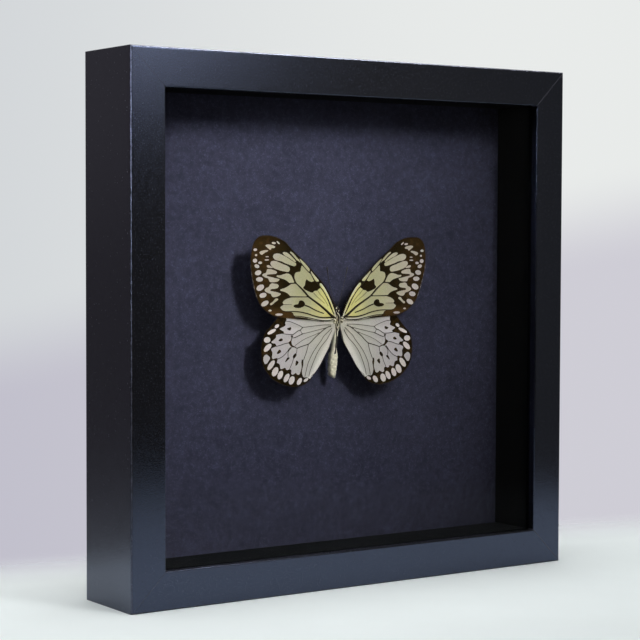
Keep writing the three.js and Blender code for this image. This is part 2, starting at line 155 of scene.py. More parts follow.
# Round spots: middle, half length, half width and tilt, which raises the end towards the body
FORE_SPOTS = [
    (48.6, 35.4, 1.0, 0.6, 0), (48.1, 32.9, 0.65, 0.5, 0), (48.7, 30.3, 1.2, 0.95, 0),
    (47.6, 27.7, 1.35, 0.85, -15), (46.8, 24.6, 1.8, 1.15, 10), (45.9, 21.5, 1.95, 1.05, 0),
    (45.4, 17.6, 2.2, 1.35, 20), (43.8, 14, 2.0, 1.15, 8), (42.6, 10.1, 2.2, 1.15, 22),
    (39.6, 6.7, 0.9, 0.4, 0), (45.8, 29.3, 1.05, 0.6, 0), (34.6, 4.7, 2.1, 0.55, 0),
    (42.2, 30.6, 1.3, 0.3, 0), (42, 32.1, 1.0, 0.25, 0), (38.5, 38.5, 1.1, 0.5, -8),
    (36.1, 38.7, 1.1, 0.35, -38),
]
FORE_BLOTCHES = {
    "P": [(22.9, 28.6), (23.6, 29.2), (24.9, 30.4), (25.3, 29.9), (25.4, 28.6), (25.9, 27.6), (27, 27.2),
          (28.6, 27.6), (29, 26.9), (28.9, 25.6), (29.4, 24.7), (28, 24.3), (27.2, 23.2), (26.7, 22.6),
          (26.4, 23.6), (25.8, 24.5), (24.4, 24.8), (23.3, 24.8), (23, 25.6), (22.9, 27), (22.4, 28)],
    "Q": [(19.6, 21.4), (18.2, 20.4), (16.6, 19.9), (15.8, 20.2), (15, 20.5), (14.2, 19.9), (12.9, 19.4),
          (11.9, 19.6), (12.6, 18.6), (12.2, 17.8), (11.4, 16.9), (12.5, 16.4), (13, 15.9), (13.8, 15.6),
          (15, 15.6), (15.9, 14.7), (17.4, 15), (19, 15.7), (20.6, 16.3), (21.4, 17.1), (21.2, 17.6),
          (20.3, 18.4), (20.2, 20)],
    "R": [(20, 9), (20.3, 10.2), (21.2, 11), (22.4, 11.3), (23.4, 10.9), (23.7, 10.1), (24, 9.4),
          (25.6, 9.3), (26.7, 8.8), (26.4, 8.1), (25, 7.6), (23, 7.5), (21.6, 7.9), (20.6, 8.4)],
}
# Veins: the line, its width at each end, and how dark it is, from 0 to 1
FORE_VEINS = [
    ([(2.4, 2.2), (3.7, 3.0), (5.3, 4.05), (7.1, 5.5), (8.9, 6.9), (11.6, 8.8), (14.2, 10.4), (17.9, 12.7),
      (19.5, 14.3), (21.05, 15.9), (23.2, 17.7), (25.3, 19.3), (26.3, 20.9), (27.1, 23)], 1.3, 0.5, 1),
    ([(18.2, 12.8), (22.1, 12.85), (27.4, 12.95), (29.5, 13)], 0.42, 0.42, 0.95),
    ([(25.3, 19.5), (27.5, 19.4), (29.5, 19.2)], 0.4, 0.4, 0.95),
    ([(20, 8.8), (17.6, 8), (15.3, 6.9), (12.9, 5.9), (10.5, 5.1), (9.2, 4.7)], 0.65, 0.55, 0.85),
    ([(33, 6), (30, 6), (24.7, 5.9), (21.3, 5.4), (18.2, 4.7), (15.3, 3.8), (11.6, 2.9), (8.9, 2.6),
      (6, 2.6), (3, 2.5)], 0.42, 0.8, 0.92),
    ([(28, 4), (25.8, 3.8), (22.1, 3.5), (18.7, 2.9), (15.5, 2.3), (12.1, 1.6), (9.5, 1.3), (6.3, 1.2),
      (3.4, 1.6)], 0.4, 0.6, 0.88),
    ([(24.8, 30), (22.6, 28.2), (20.5, 26.3), (18.5, 24.6), (17.4, 23.9), (15.8, 21.8), (14.8, 20.6),
      (11.6, 17.2), (10, 15.6), (8.2, 13.2), (6.8, 10.9), (5.8, 8.8), (4.7, 6.7), (3.2, 4.2)],
     0.32, 0.55, 0.9),
    ([(24, 30.9), (22.4, 28)], 0.3, 0.3, 0.95),
    ([(18, 25.4), (16.6, 22.8), (15, 20.1)], 0.3, 0.3, 0.95),
    ([(15.4, 14.6), (13.2, 12.7), (11.1, 11.2), (8.9, 9.6)], 0.6, 0.4, 0.49),
    ([(13.2, 15.9), (11.6, 14), (10, 12.5), (8.2, 10.4), (6.8, 8.3)], 0.6, 0.4, 0.49),
    ([(32.3, 9.4), (30, 9.35), (27.6, 9.3)], 0.3, 0.2, 0.7),
]

# ------------------------------------------------------------------ hindwing drawing

HINDWING_EDGE = [
    (1.0, -2), (0.8, 1.0), (6, 4.5), (12, 6.5), (20, 7), (28, 6.5), (33, 4.5), (34.9, 2.6), (36.8, 0.8),
    (38.5, -1), (40.5, -2.6), (42, -4.5), (43, -6.8), (43.6, -9.5), (43.8, -12), (43.7, -15),
    (43.2, -17.8), (42, -20.5), (40, -23), (38.3, -24.8), (36, -26.3), (33.5, -27.6), (31, -28.6),
    (28, -29.4), (25, -29.8), (22, -29.6), (19, -28.8), (17, -27.6), (16.2, -26.6), (15.4, -25),
    (13.4, -23.6), (11.6, -21.6), (10, -19.4), (8.6, -17), (7.1, -14.6), (5.6, -12.4), (4.3, -9.5),
    (3.6, -7), (2.8, -4),
]
# The pale ground, whose outer side is the toothed inner edge of the dark margin
HIND_GROUND = [
    (0.5, -2), (0.5, 3), (10, 8), (28, 8), (30, 4), (29.8, 2), (30.7, 0.8), (30.2, -0.6), (31.4, -1.2),
    (33.8, -2), (33, -2.6), (31.6, -3.3), (31, -3.8), (32, -4.4), (34.4, -4.7), (35.8, -5), (35.4, -6),
    (36.6, -7), (38.4, -8.2), (37.6, -8.8), (36, -8.9), (35.6, -9.8), (35.4, -10.2), (36.5, -10.6),
    (38.3, -11.2), (38.4, -12), (37.6, -13), (37.8, -14.2), (38, -15.6), (37.4, -16.4), (36.2, -15.9),
    (34.8, -15.8), (34.9, -17.2), (35.2, -18.2), (33.8, -18.5), (33.2, -19.6), (33.2, -21),
    (32.2, -21.2), (31.4, -20.8), (30.2, -20.6), (30, -21.6), (29.2, -21.8), (28.2, -21.4),
    (27.2, -21.6), (27, -22), (27.2, -23.6), (26.4, -24.2), (25.4, -23.8), (24.4, -23.2), (23.8, -24),
    (23, -24.4), (22.2, -24), (21.6, -22.6), (21, -20.8), (20.9, -23), (20.4, -25.2), (19.4, -25.8),
    (18.4, -25.6), (17.6, -25.9), (16.4, -26.4), (15.2, -26.5), (12, -24), (3, -12), (0.5, -6),
]
HIND_SPOTS = [
    (35.2, -0.8, 1.3, 0.8, 25), (38.1, -3.3, 2.6, 0.85, 22), (40.6, -7.1, 1.85, 1.35, 0),
    (40.4, -10.8, 2.6, 1.25, 38), (38.4, -19.1, 2.8, 1.25, 48), (36.1, -22.3, 2.4, 1.55, 55),
    (33.2, -24, 2.2, 1.35, 60), (29.7, -25.5, 2.3, 1.25, 55), (26.8, -26.8, 2.1, 1.5, 60),
    (22.3, -27.5, 1.9, 1.15, 50), (18.5, -27, 1.4, 0.7, 25),
]
HIND_TEARDROP = [
    (40.9, -13.9), (39.6, -14.9), (38.9, -15.8), (39.8, -17), (41, -18.4), (42, -18.5), (42.8, -17),
    (42.9, -15.6), (42.2, -14.3),
]
HIND_BLOTCHES = {
    "bar": [(27.5, -5.2), (27, -6.5), (27.4, -7.8), (28.6, -8.4), (29, -8.9), (28.3, -9.6), (27.6, -10.3),
            (26.9, -11), (25.4, -11.1), (23.8, -11.9), (24, -11.2), (25.2, -10.6), (26.4, -10.2),
            (27, -8.8), (26.9, -7.6), (26.4, -6.4), (26, -5.4)],
    "s1": [(29.8, -2.1), (28.4, -1.6), (27.3, -1.4), (26.9, -2), (27.7, -3.2), (28.6, -2.9)],
    "s2": [(34.5, -7.7), (33.6, -6.9), (32.6, -6.4), (31.7, -7.2), (32.2, -7.9), (33.4, -8.1)],
    "s3": [(35.4, -13.7), (34.6, -12.5), (33.9, -11.8), (33, -12.2), (32.6, -13), (33.6, -13.6), (34.6, -14)],
    "s4": [(30.6, -18), (30, -16.9), (29.2, -15.6), (28, -15.8), (27.9, -16.2), (29.2, -17.2), (30, -17.9)],
    "s5": [(26.2, -15.2), (25.2, -14.2), (24.3, -13.8), (23.9, -14.8), (24.4, -15.6), (25.6, -16.6),
           (26.1, -16.2)],
    "s6": [(24.2, -17.1), (22.6, -18.3), (23.4, -19.3), (24.6, -20.2), (24.7, -19)],
    "tail_bar": [(20.9, -16.8), (20.2, -17.4), (20, -19.2), (20.5, -21), (21.0, -23), (20.9, -25),
                 (21.7, -25), (21.5, -22.6), (21, -20.8), (21.3, -18.4)],
}
HIND_VEINS = [
    ([(31.5, 1.6), (28, 1.2), (25, 0.2), (22, -1), (20.5, -1.7), (16, -1.4), (12, -1.1), (8, -0.9), (4, -1)],
     0.3, 0.3, 0.75),
    ([(21.9, -2.9), (21.2, -4.4), (20.4, -4.7), (17, -4.2), (14, -3.6), (10, -2.9), (6, -2.1)],
     0.3, 0.3, 0.7),
    ([(20.5, -1.7), (21.9, -2.9), (23.6, -3.5), (25, -4.4), (26.2, -5)], 0.4, 0.4, 0.85),
    ([(20.4, -4.8), (22.5, -5.5), (24.2, -6.2), (26, -6.6)], 0.4, 0.4, 0.85),
    ([(25, -10.3), (22, -8.6), (20, -7.6), (17, -6.5), (14, -5.6), (11, -4.5)], 0.3, 0.25, 0.55),
    ([(4.2, -1.6), (6, -2), (8, -3), (10, -4.3), (13, -6.4), (15.5, -8.6), (17.2, -9.8), (19, -10.3),
      (21.5, -10.9), (23.8, -11.6)], 0.42, 0.42, 0.95),
    ([(17.2, -9.9), (17.8, -12), (18.5, -14), (19.4, -16), (20.1, -17.5)], 0.34, 0.34, 0.85),
    ([(3.6, -2.6), (8.1, -6.1), (9.8, -8.3), (12.6, -11.4), (14.8, -14.2), (16.4, -16.9), (17.6, -19.4),
      (18.4, -22.2), (19.2, -25.3)], 0.3, 0.3, 0.9),
    ([(3.6, -3.6), (5.3, -6.1), (6.7, -8.1), (8.7, -10), (10.9, -12.5), (12.6, -15), (13.9, -17.5),
      (15.1, -20), (16.2, -22.8), (16.9, -25.3)], 0.3, 0.3, 0.85),
    ([(23.8, -11.7), (23.9, -13), (24.2, -14)], 0.3, 0.3, 0.9),
    ([(25.8, -16.4), (26.6, -18.6), (27.6, -20.4), (28.2, -21.6)], 0.3, 0.3, 0.85),
    ([(27.7, -11), (30.2, -13.8), (32.3, -15.4), (34.9, -16.4)], 0.34, 0.34, 0.9),
    ([(26.9, -11), (28.7, -12.8), (29, -14), (28.9, -15.4)], 0.35, 0.35, 0.9),
    ([(29, -8.9), (31, -9.2), (33.5, -9.9), (35.7, -10.3)], 0.35, 0.35, 0.9),
    ([(26.2, -5), (29, -4.8), (32, -4.4)], 0.35, 0.35, 0.9),
]

# ------------------------------------------------------------------ settings


def colour(name, description, default):
    return bpy.props.FloatVectorProperty(
        name=name, description=description, default=default, subtype="COLOR", size=3, min=0, max=1)


class FrameFinish(bpy.types.PropertyGroup):
    black: colour("Black", "Foil of the box frame", (0.0105, 0.0102, 0.0106))
    sheen: colour("Black sheen", "Tint of the light that the foil throws back", (0.52, 0.63, 1.0))
    gloss: bpy.props.FloatProperty(
        name="Roughness", description="Roughness of the foil", default=0.14, min=0, max=1, subtype="FACTOR")
    # The same colour draws the pale line along the mitres.
    wear: colour("Worn edge", "Arris where the foil has rubbed thin", (0.17, 0.165, 0.2))
    lining: colour("Lining", "Strips inside the box", (0.0008, 0.0014, 0.002))
    card: colour("Card", "Card behind the butterfly", (0.0375, 0.0385, 0.063))
    card_sheen: colour("Card sheen", "Tint of the card's soft shine", (0.62, 0.66, 1.0))
    foam: colour("Foam", "Foam sheet behind the card", (0.78, 0.77, 0.73))
    board: colour("Back board", "Hardboard back", (0.17, 0.095, 0.05))
    steel: colour("Steel", "Tabs, V-nails and nails", (0.52, 0.53, 0.55))
    brass: colour("Brass", "Sawtooth hanger", (0.62, 0.46, 0.2))


class SpecimenFinish(bpy.types.PropertyGroup):
    cream: colour("Cream", "Pale cells of the forewing", (0.44, 0.425, 0.255))
    yellow: colour("Yellow", "Flush at the forewing's root", (0.66, 0.62, 0.24))
    grey: colour("Grey white", "Ground of the hindwing", (0.505, 0.495, 0.43))
    lilac: colour("Lilac white", "Outer part of the hindwing", (0.52, 0.485, 0.485))
    spot: colour("Spots", "Spots along the dark margins", (0.64, 0.58, 0.55))
    black: colour("Black scales", "Dark markings and veins", (0.013, 0.008, 0.0018))
    brown: colour("Brown scales", "Thinly scaled dark margin", (0.058, 0.029, 0.007))
    olive: colour("Olive", "Stripes on the thorax", (0.11, 0.09, 0.038))
    body: colour("Body", "Scales and hair of the body", (0.92, 0.87, 0.66))
    hair_length: bpy.props.FloatProperty(
        name="Hair", description="Length of the hair on the thorax", default=0.0011, unit="LENGTH")


class StudioSetup(bpy.types.PropertyGroup):
    azimuth: bpy.props.FloatProperty(
        name="Azimuth", description="Camera's turn round the frame", default=math.radians(-34.4955),
        subtype="ANGLE")
    elevation: bpy.props.FloatProperty(
        name="Elevation", description="Camera's height angle", default=math.radians(2.7653), subtype="ANGLE")
    roll: bpy.props.FloatProperty(
        name="Roll", description="Camera's tilt", default=math.radians(0.1809), subtype="ANGLE")
    aim: bpy.props.FloatVectorProperty(
        name="Aim", description="Point that the camera looks at", default=(-0.01005, 0, 0.12647),
        subtype="TRANSLATION", size=3)
    distance: bpy.props.FloatProperty(
        name="Distance", description="From the aim to the camera", default=0.91249, unit="LENGTH")
    lens: bpy.props.FloatProperty(name="Lens", description="Focal length in millimetres", default=106.79)
    key: bpy.props.FloatProperty(name="Key light", description="Power in watts", default=0.124, min=0)
    floor: colour("Floor", "Paper that the frame stands on", (0.86, 0.925, 0.925))


class SpecimenSettings(bpy.types.PropertyGroup):
    frame: bpy.props.PointerProperty(type=FrameFinish)
    wings: bpy.props.PointerProperty(type=SpecimenFinish)
    studio: bpy.props.PointerProperty(type=StudioSetup)


def settings():
    return bpy.context.scene.specimen


# Sockets of the Mix node when it mixes colours
MIX_SHARE, MIX_FIRST, MIX_SECOND, MIX_RESULT = 0, 6, 7, 2


# ------------------------------------------------------------------ materials


class Finish:
    """One material and the nodes that colour it. Places are in millimetres unless they say otherwise."""

    def __init__(self, name, **plain):
        self.material = bpy.data.materials.new(name)
        self.material.use_nodes = True
        self.tree = self.material.node_tree
        self.shader = self.tree.nodes["Principled BSDF"]
        self.set(**plain)

    def set(self, **values):
        for name, value in values.items():
            label = name.replace("_", " ").title().replace("Ior", "IOR")
            self.plug(self.shader.inputs[label], value)

    def plug(self, socket, value):
        if isinstance(value, bpy.types.NodeSocket):
            self.tree.links.new(value, socket)
        elif socket.type == "RGBA":
            socket.default_value = (*value, 1) if len(value) == 3 else value
        else:
            socket.default_value = value

    def node(self, kind, named=None, **options):
        made = self.tree.nodes.new(kind)
        for name, value in options.items():
            setattr(made, name, value)
        for name, value in (named or {}).items():
            self.plug(made.inputs[name], value)
        return made

    def place(self, stretch=(1, 1, 1), turn=(0, 0, 0), shift=(0, 0, 0)):
        source = self.node("ShaderNodeTexCoord").outputs["Object"]
        scale = [1000 * s for s in stretch]
        named = {"Vector": source, "Scale": scale, "Rotation": turn, "Location": shift}
        return self.node("ShaderNodeMapping", named).outputs[0]

    def attribute(self, name, output="Fac"):
        return self.node("ShaderNodeAttribute", attribute_name=name).outputs[output]

    def axes(self, vector):
        return self.node("ShaderNodeSeparateXYZ", {"Vector": vector}).outputs

    def noise(self, vector, scale, detail=3.0, roughness=0.55, distortion=0.0):
        named = {"Vector": vector, "Scale": scale, "Detail": detail, "Roughness": roughness,
                 "Distortion": distortion}
        return self.node("ShaderNodeTexNoise", named).outputs["Fac"]

    def cells(self, vector, scale, output="Distance", **options):
        named = {"Vector": vector, "Scale": scale}
        return self.node("ShaderNodeTexVoronoi", named, **options).outputs[output]

    def math(self, operation, *values, clamp=False):
        made = self.node("ShaderNodeMath", operation=operation, use_clamp=clamp)
        for socket, value in zip(made.inputs, values):
            self.plug(socket, value)
        return made.outputs[0]

    def steps(self, value, low, high, to_low=0.0, to_high=1.0, soft=True):
        named = {"Value": value, "From Min": low, "From Max": high, "To Min": to_low, "To Max": to_high}
        kind = "SMOOTHSTEP" if soft else "LINEAR"
        return self.node("ShaderNodeMapRange", named, interpolation_type=kind).outputs[0]

    def mix(self, share, first, second, blend="MIX"):
        made = self.node("ShaderNodeMix", data_type="RGBA", blend_type=blend)
        self.plug(made.inputs[MIX_SHARE], share)
        self.plug(made.inputs[MIX_FIRST], first)
        self.plug(made.inputs[MIX_SECOND], second)
        return made.outputs[MIX_RESULT]

    def vary(self, first, share, low, high):
        """first, made darker or lighter from low to high as share goes from 0 to 1."""
        grey = self.steps(share, 0.0, 1.0, low, high, soft=False)
        mixed = self.node("ShaderNodeCombineColor", {"Red": grey, "Green": grey, "Blue": grey}).outputs[0]
        return self.mix(1.0, first, mixed, "MULTIPLY")

    def bump(self, height, distance, strength=1.0, under=None):
        named = {"Height": height, "Distance": distance, "Strength": strength}
        if under is not None:
            named["Normal"] = under
        return self.node("ShaderNodeBump", named).outputs[0]


def blue_black_foil(name, upright):
    """Satin foil over wood: mottled, finely pitted, worn along the arrises, with a little dust."""
    look = settings().frame
    made = Finish(name, specular_tint=look.sheen, specular_ior_level=0.5, ior=1.9)
    along = (0.12, 1, 1) if not upright else (1, 1, 0.12)
    place = made.place()
    grain = made.noise(made.place(along), 2.4, 4, 0.6)
    mottle = made.noise(place, 0.5, 4, 0.6)
    fine = made.noise(place, 1.7, 3, 0.7)
    tone = made.vary(look.black, mottle, 0.7, 1.35)
    tone = made.vary(tone, fine, 0.75, 1.25)
    x, y, z = made.axes(place)
    across = made.math("ABSOLUTE", x)
    upward = made.math("ABSOLUTE", made.math("SUBTRACT", z, CENTRE_Z))
    outward = made.math("MAXIMUM", across, upward)
    near_side = made.math("SUBTRACT", HALF_FRAME, outward)
    near_front = made.math("SUBTRACT", y, FRONT_Y)
    corner = made.math("MAXIMUM", near_side, near_front)
    rub = made.math("ADD", corner, made.steps(made.noise(place, 0.35, 5, 0.7), 0.3, 0.7, 0.25, -0.1))
    worn = made.steps(rub, 0.75, 0.35)
    tone = made.mix(made.math("MULTIPLY", worn, 0.75), tone, look.wear)
    specks = made.cells(place, 0.45)
    chosen = made.steps(made.cells(place, 0.45, "Color"), 0.5, 0.6)
    dust = made.math("MULTIPLY", made.steps(specks, 0.17, 0.08), chosen)
    tone = made.mix(made.math("MULTIPLY", dust, 0.45), tone, (0.24, 0.25, 0.28))
    grit = made.steps(made.noise(place, 1.3, 2, 0.8), 0.52, 0.72, 0, 0.3)
    tone = made.mix(grit, tone, (0.1, 0.105, 0.13))
    # A pale line along the mitres, strong on the right-hand side and faint on the left.
    mitre = made.math("ABSOLUTE", made.math("SUBTRACT", across, upward))
    mitre_line = made.math("MULTIPLY", made.steps(mitre, 0.55, 0.2), made.steps(x, 90, 110, 0.12, 0.7))
    tone = made.mix(mitre_line, tone, look.wear)
    pores = made.noise(place, 3.2, 3, 0.65)
    peel = made.noise(place, 1.5, 3, 0.75)
    normal = made.bump(pores, 0.000015, 0.6)
    normal = made.bump(made.steps(peel, 0.3, 0.7), 0.00001, 0.8, normal)
    normal = made.bump(grain, 0.00001, 0.35, normal)
    rough = made.math("ADD", look.gloss, made.steps(mottle, 0.2, 0.8, -0.03, 0.03))
    rough = made.math("ADD", rough, made.steps(fine, 0.35, 0.65, 0.035, -0.03))
    rough = made.math("ADD", rough, made.math("MULTIPLY", worn, 0.12))
    made.set(base_color=tone, roughness=rough, normal=normal)
    return made.material


def matt_lining():
    """Matt black strip with a faint rolled texture."""
    made = Finish("lining_black", specular_ior_level=0.1)
    place = made.place()
    tone = made.vary(settings().frame.lining, made.noise(place, 0.5, 5, 0.65), 0.5, 1.6)
    normal = made.bump(made.noise(place, 2.2, 4, 0.6), 0.00004, 0.5)
    made.set(base_color=tone, normal=normal, roughness=made.steps(made.noise(place, 1, 3), 0, 1, 0.75, 0.95))
    return made.material


def textured_card():
    """Blue-black card with a soft mottle and fine felted fibres."""
    look = settings().frame
    made = Finish("card_blue_black", specular_ior_level=0.12, specular_tint=look.card_sheen)
    place = made.place()
    cloud = made.noise(place, 0.045, 4, 0.62, 0.4)
    mottle = made.noise(place, 0.28, 5, 0.68, 0.3)
    fibre = made.noise(made.place((1.0, 1.0, 0.35), (0, 0.5, 0)), 3.0, 4, 0.7, 0.6)
    cross = made.noise(made.place((0.35, 1.0, 1.0), (0, 0.3, 0)), 3.0, 4, 0.7, 0.6)
    tone = made.vary(look.card, cloud, 0.78, 1.22)
    tone = made.vary(tone, made.steps(mottle, 0.3, 0.7), 0.8, 1.2)
    tone = made.vary(tone, fibre, 0.82, 1.18)
    tone = made.vary(tone, cross, 0.84, 1.16)
    curl = made.noise(place, 0.62, 2, 0.5, 1.6)
    curl = made.math("ABSOLUTE", made.math("SUBTRACT", curl, 0.5))
    broken = made.steps(made.noise(place, 0.42, 3, 0.6), 0.42, 0.56)
    curl = made.math("MULTIPLY", made.steps(curl, 0.03, 0.006), broken)
    tone = made.vary(tone, curl, 0.94, 1.9)
    normal = made.bump(fibre, 0.00003, 0.6)
    normal = made.bump(cross, 0.00003, 0.6, normal)
    normal = made.bump(curl, 0.0001, 0.5, normal)
    made.set(base_color=tone, normal=normal, roughness=made.steps(mottle, 0.2, 0.8, 0.6, 0.75))
    return made.material


def clear_pane():
    """Low-reflection glass, very faintly uneven."""
    made = Finish("pane_glass", base_color=(0.985, 0.99, 0.99), roughness=0.0, transmission_weight=1.0,
                  ior=1.1)
    ripple = made.noise(made.place(), 0.02, 2, 0.4)
    made.set(normal=made.bump(ripple, 0.00002, 0.2))
    return made.material


def white_foam():
    made = Finish("foam_white", specular_ior_level=0.3, roughness=0.85)
    place = made.place()
    beads = made.cells(place, 0.9, feature="DISTANCE_TO_EDGE")
    tone = made.vary(settings().frame.foam, made.steps(beads, 0, 0.12), 0.82, 1.0)
    made.set(base_color=tone, normal=made.bump(beads, 0.0004, 0.5))
    return made.material


def hardboard():
    """Pressed brown fibre board: a smooth face with short fibres in it."""
    made = Finish("back_hardboard", specular_ior_level=0.35)
    place = made.place()
    cloud = made.noise(place, 0.06, 4, 0.6)
    fibre = made.noise(made.place((1, 1, 0.22), (0, 0.4, 0)), 1.6, 5, 0.75, 1.2)
    flecks = made.noise(made.place((0.3, 1, 1), (0, -0.5, 0)), 2.6, 5, 0.7, 0.8)
    tone = made.vary(settings().frame.board, cloud, 0.75, 1.25)
    tone = made.vary(tone, fibre, 0.55, 1.45)
    tone = made.mix(made.steps(flecks, 0.62, 0.74), tone, (0.36, 0.24, 0.14))
    tone = made.mix(made.steps(flecks, 0.36, 0.26), tone, (0.06, 0.03, 0.015))
    normal = made.bump(fibre, 0.00015, 0.4)
    made.set(base_color=tone, normal=normal, roughness=made.steps(cloud, 0.2, 0.8, 0.5, 0.68))
    return made.material


def plated_metal(name, tint, shine, scratch_turn):
    """Plated metal with fine scratches, soft blotches and dull tarnished patches."""
    made = Finish(name, metallic=1.0)
    place = made.place()
    blotch = made.noise(place, 0.7, 4, 0.6)
    scratch = made.noise(made.place((0.08, 1, 1), scratch_turn), 9.0, 4, 0.7)
    tone = made.vary(tint, blotch, 0.7, 1.2)
    tone = made.vary(tone, scratch, 0.85, 1.12)
    tarnish = made.steps(made.noise(place, 2.0, 6, 0.75), 0.6, 0.75)
    tone = made.mix(made.math("MULTIPLY", tarnish, 0.5), tone, (0.16, 0.13, 0.1))
    rough = made.math("ADD", shine, made.steps(blotch, 0.2, 0.8, -0.08, 0.14))
    made.set(base_color=tone, normal=made.bump(scratch, 0.00003, 0.4),
             roughness=made.math("ADD", rough, made.math("MULTIPLY", tarnish, 0.2)))
    return made.material


def black_enamel():
    made = Finish("pin_enamel", specular_ior_level=0.5)
    place = made.place()
    chips = made.steps(made.noise(place, 3.0, 5, 0.7), 0.66, 0.72)
    tone = made.mix(chips, (0.012, 0.012, 0.015), (0.3, 0.3, 0.31))
    made.set(base_color=tone, metallic=chips, roughness=made.steps(made.noise(place, 1.2), 0, 1, 0.2, 0.4))
    return made.material


def scale_pattern(made, drawn):
    """Overlapping rows of wing scales, as a height from 0 to 1."""
    stretched = made.node("ShaderNodeMapping", {"Vector": drawn, "Scale": (1.0, 1.6, 1.0)}).outputs[0]
    return made.cells(stretched, 5.0, feature="F1")


def wing_scales(name, hind):
    """Pale scales with dark markings. The sheet's attributes say how far each mark's edge is."""
    look = settings().wings
    made = Finish(name, specular_ior_level=0.03, subsurface_weight=0.4, subsurface_scale=1.0,
                  subsurface_radius=(0.0003, 0.0003, 0.00025))
    drawn = made.attribute("drawn", "Vector")
    out, up, _ = made.axes(drawn)
    cloud = made.noise(drawn, 0.12, 4, 0.6)
    mottle = made.noise(drawn, 0.9, 4, 0.65)
    dusting = made.noise(drawn, 3.5, 3, 0.7)
    rows = scale_pattern(made, drawn)
    reach = made.math("ADD", out, made.steps(cloud, 0.2, 0.8, -3, 3))
    if hind:
        ground = made.mix(made.steps(reach, 12, 34), look.grey, look.lilac)
        inner = made.math("ADD", out, made.math("MULTIPLY", up, 0.62))
        ground = made.mix(made.steps(inner, 2.6, -0.6), ground, (0.8, 0.78, 0.72))
        ground = made.mix(made.steps(out, 16, 3, 0, 0.45), ground, (0.6, 0.55, 0.44))
    else:
        flush = made.math("MULTIPLY", made.steps(reach, 20, 5), made.steps(reach, 1.0, 5.0))
        rim = made.steps(made.attribute("rim"), 1.6, 0.5)
        flush = made.math("MULTIPLY", flush, made.math("SUBTRACT", 1.0, rim))
        ground = made.mix(flush, look.cream, look.yellow)
        ground = made.mix(made.steps(reach, 20, 44), ground, (0.49, 0.44, 0.37))
        ground = made.mix(made.math("MULTIPLY", rim, made.steps(out, 24, 6)), ground, (0.72, 0.69, 0.58))
    spots = made.vary(look.spot, 1.0, 1.0, 1.08 if hind else 0.86)
    ground = made.mix(made.attribute("spot"), ground, spots)
    ground = made.vary(ground, mottle, 0.86, 1.12)
    ground = made.vary(ground, dusting, 0.9, 1.09)
    ground = made.vary(ground, rows, 1.04, 0.9)
    thin = made.steps(made.noise(drawn, 0.35, 3, 0.6), 0.46, 0.64)
    if hind:
        thin = made.math("MULTIPLY", thin, 0.5)
    else:
        hem = made.math("MULTIPLY", made.steps(up, 10, 5), made.steps(out, 24, 28))
        apex = made.math("MULTIPLY", made.steps(out, 30, 44), made.steps(thin, 0, 1, 0.35, 0.7))
        thin = made.math("MAXIMUM", apex, hem)
    black = made.mix(thin, look.black, look.brown)
    black = made.vary(black, dusting, 0.7, 1.4)
    ragged = made.math("ADD", made.attribute("dark"), made.steps(dusting, 0.2, 0.8, -0.13, 0.13))
    marked = made.steps(ragged, -0.09, 0.09)
    vein = made.steps(made.attribute("vein"), -0.07, 0.05)
    vein = made.math("MULTIPLY", vein, made.attribute("vein_tone"))
    shade = made.mix(vein, ground, look.black)
    made.set(base_color=made.mix(marked, shade, black))
    normal = made.bump(rows, 0.00004, 0.5)
    normal = made.bump(mottle, 0.00012, 0.25, normal)
    made.set(normal=normal, roughness=made.steps(dusting, 0.2, 0.8, 0.55, 0.8))
    return made.material


def vein_wall():
    made = Finish("vein_wall", specular_ior_level=0.12)
    place = made.place()
    tone = made.vary(settings().wings.black, made.noise(place, 1.5, 3), 0.6, 1.8)
    made.set(base_color=tone, roughness=0.55, normal=made.bump(made.noise(place, 5, 2), 0.00003, 0.5))
    return made.material


def margin_fringe():
    made = Finish("margin_fringe", specular_ior_level=0.2, roughness=0.8)
    pale = made.attribute("pale")
    dark = made.vary(settings().wings.brown, made.noise(made.place(), 1.2), 0.25, 1.0)
    made.set(base_color=made.mix(pale, dark, (0.5, 0.46, 0.4)))
    return made.material


def body_scales():
    """Cream scales with black and olive stripes."""
    look = settings().wings
    made = Finish("body_scales", specular_ior_level=0.2, sheen_weight=0.2, sheen_roughness=0.5)
    place = made.place()
    fine = made.noise(place, 4.0, 4, 0.7)
    soft = made.noise(place, 0.7, 4, 0.6)
    tone = made.vary(look.body, soft, 0.78, 1.12)
    olive = made.steps(made.math("ADD", made.attribute("olive"), made.steps(fine, 0, 1, -0.5, 0.5)), 0.2, 0.9)
    tone = made.mix(olive, tone, look.olive)
    black = made.math("ADD", made.attribute("black"), made.steps(fine, 0.2, 0.8, -0.25, 0.25))
    tone = made.mix(made.steps(black, 0.35, 0.65), tone, look.black)
    tone = made.vary(tone, made.cells(place, 6.0), 1.1, 0.82)
    normal = made.bump(made.cells(place, 6.0), 0.00006, 0.6)
    made.set(base_color=tone, roughness=0.7, normal=made.bump(fine, 0.0002, 0.4, normal))
    return made.material


def body_hair():
    look = settings().wings
    made = Finish("body_hair", specular_ior_level=0.25, roughness=0.6)
    tone = made.vary(look.body, made.noise(made.place(), 1.3, 2), 0.75, 1.15)
    tone = made.mix(made.steps(made.attribute("olive"), 0.35, 0.9), tone, look.olive)
    tone = made.mix(made.steps(made.attribute("black"), 0.4, 0.6), tone, look.black)
    made.set(base_color=tone)
    return made.material


def insect_shell(name, tone, spots):
    """Hard dark skin of eyes, legs, tongue and antennae."""
    made = Finish(name, specular_ior_level=0.5, roughness=0.35)
    place = made.place()
    facets = made.cells(place, 8.0, feature="DISTANCE_TO_EDGE")
    shade = made.vary(tone, made.noise(place, 2.0, 3), 0.6, 1.5)
    if spots:
        shade = made.mix(made.steps(made.noise(place, 1.1, 2), 0.6, 0.66), shade, (0.5, 0.48, 0.42))
    made.set(base_color=shade, normal=made.bump(facets, 0.00004, 0.6))
    return made.material


# ------------------------------------------------------------------ lines and marks


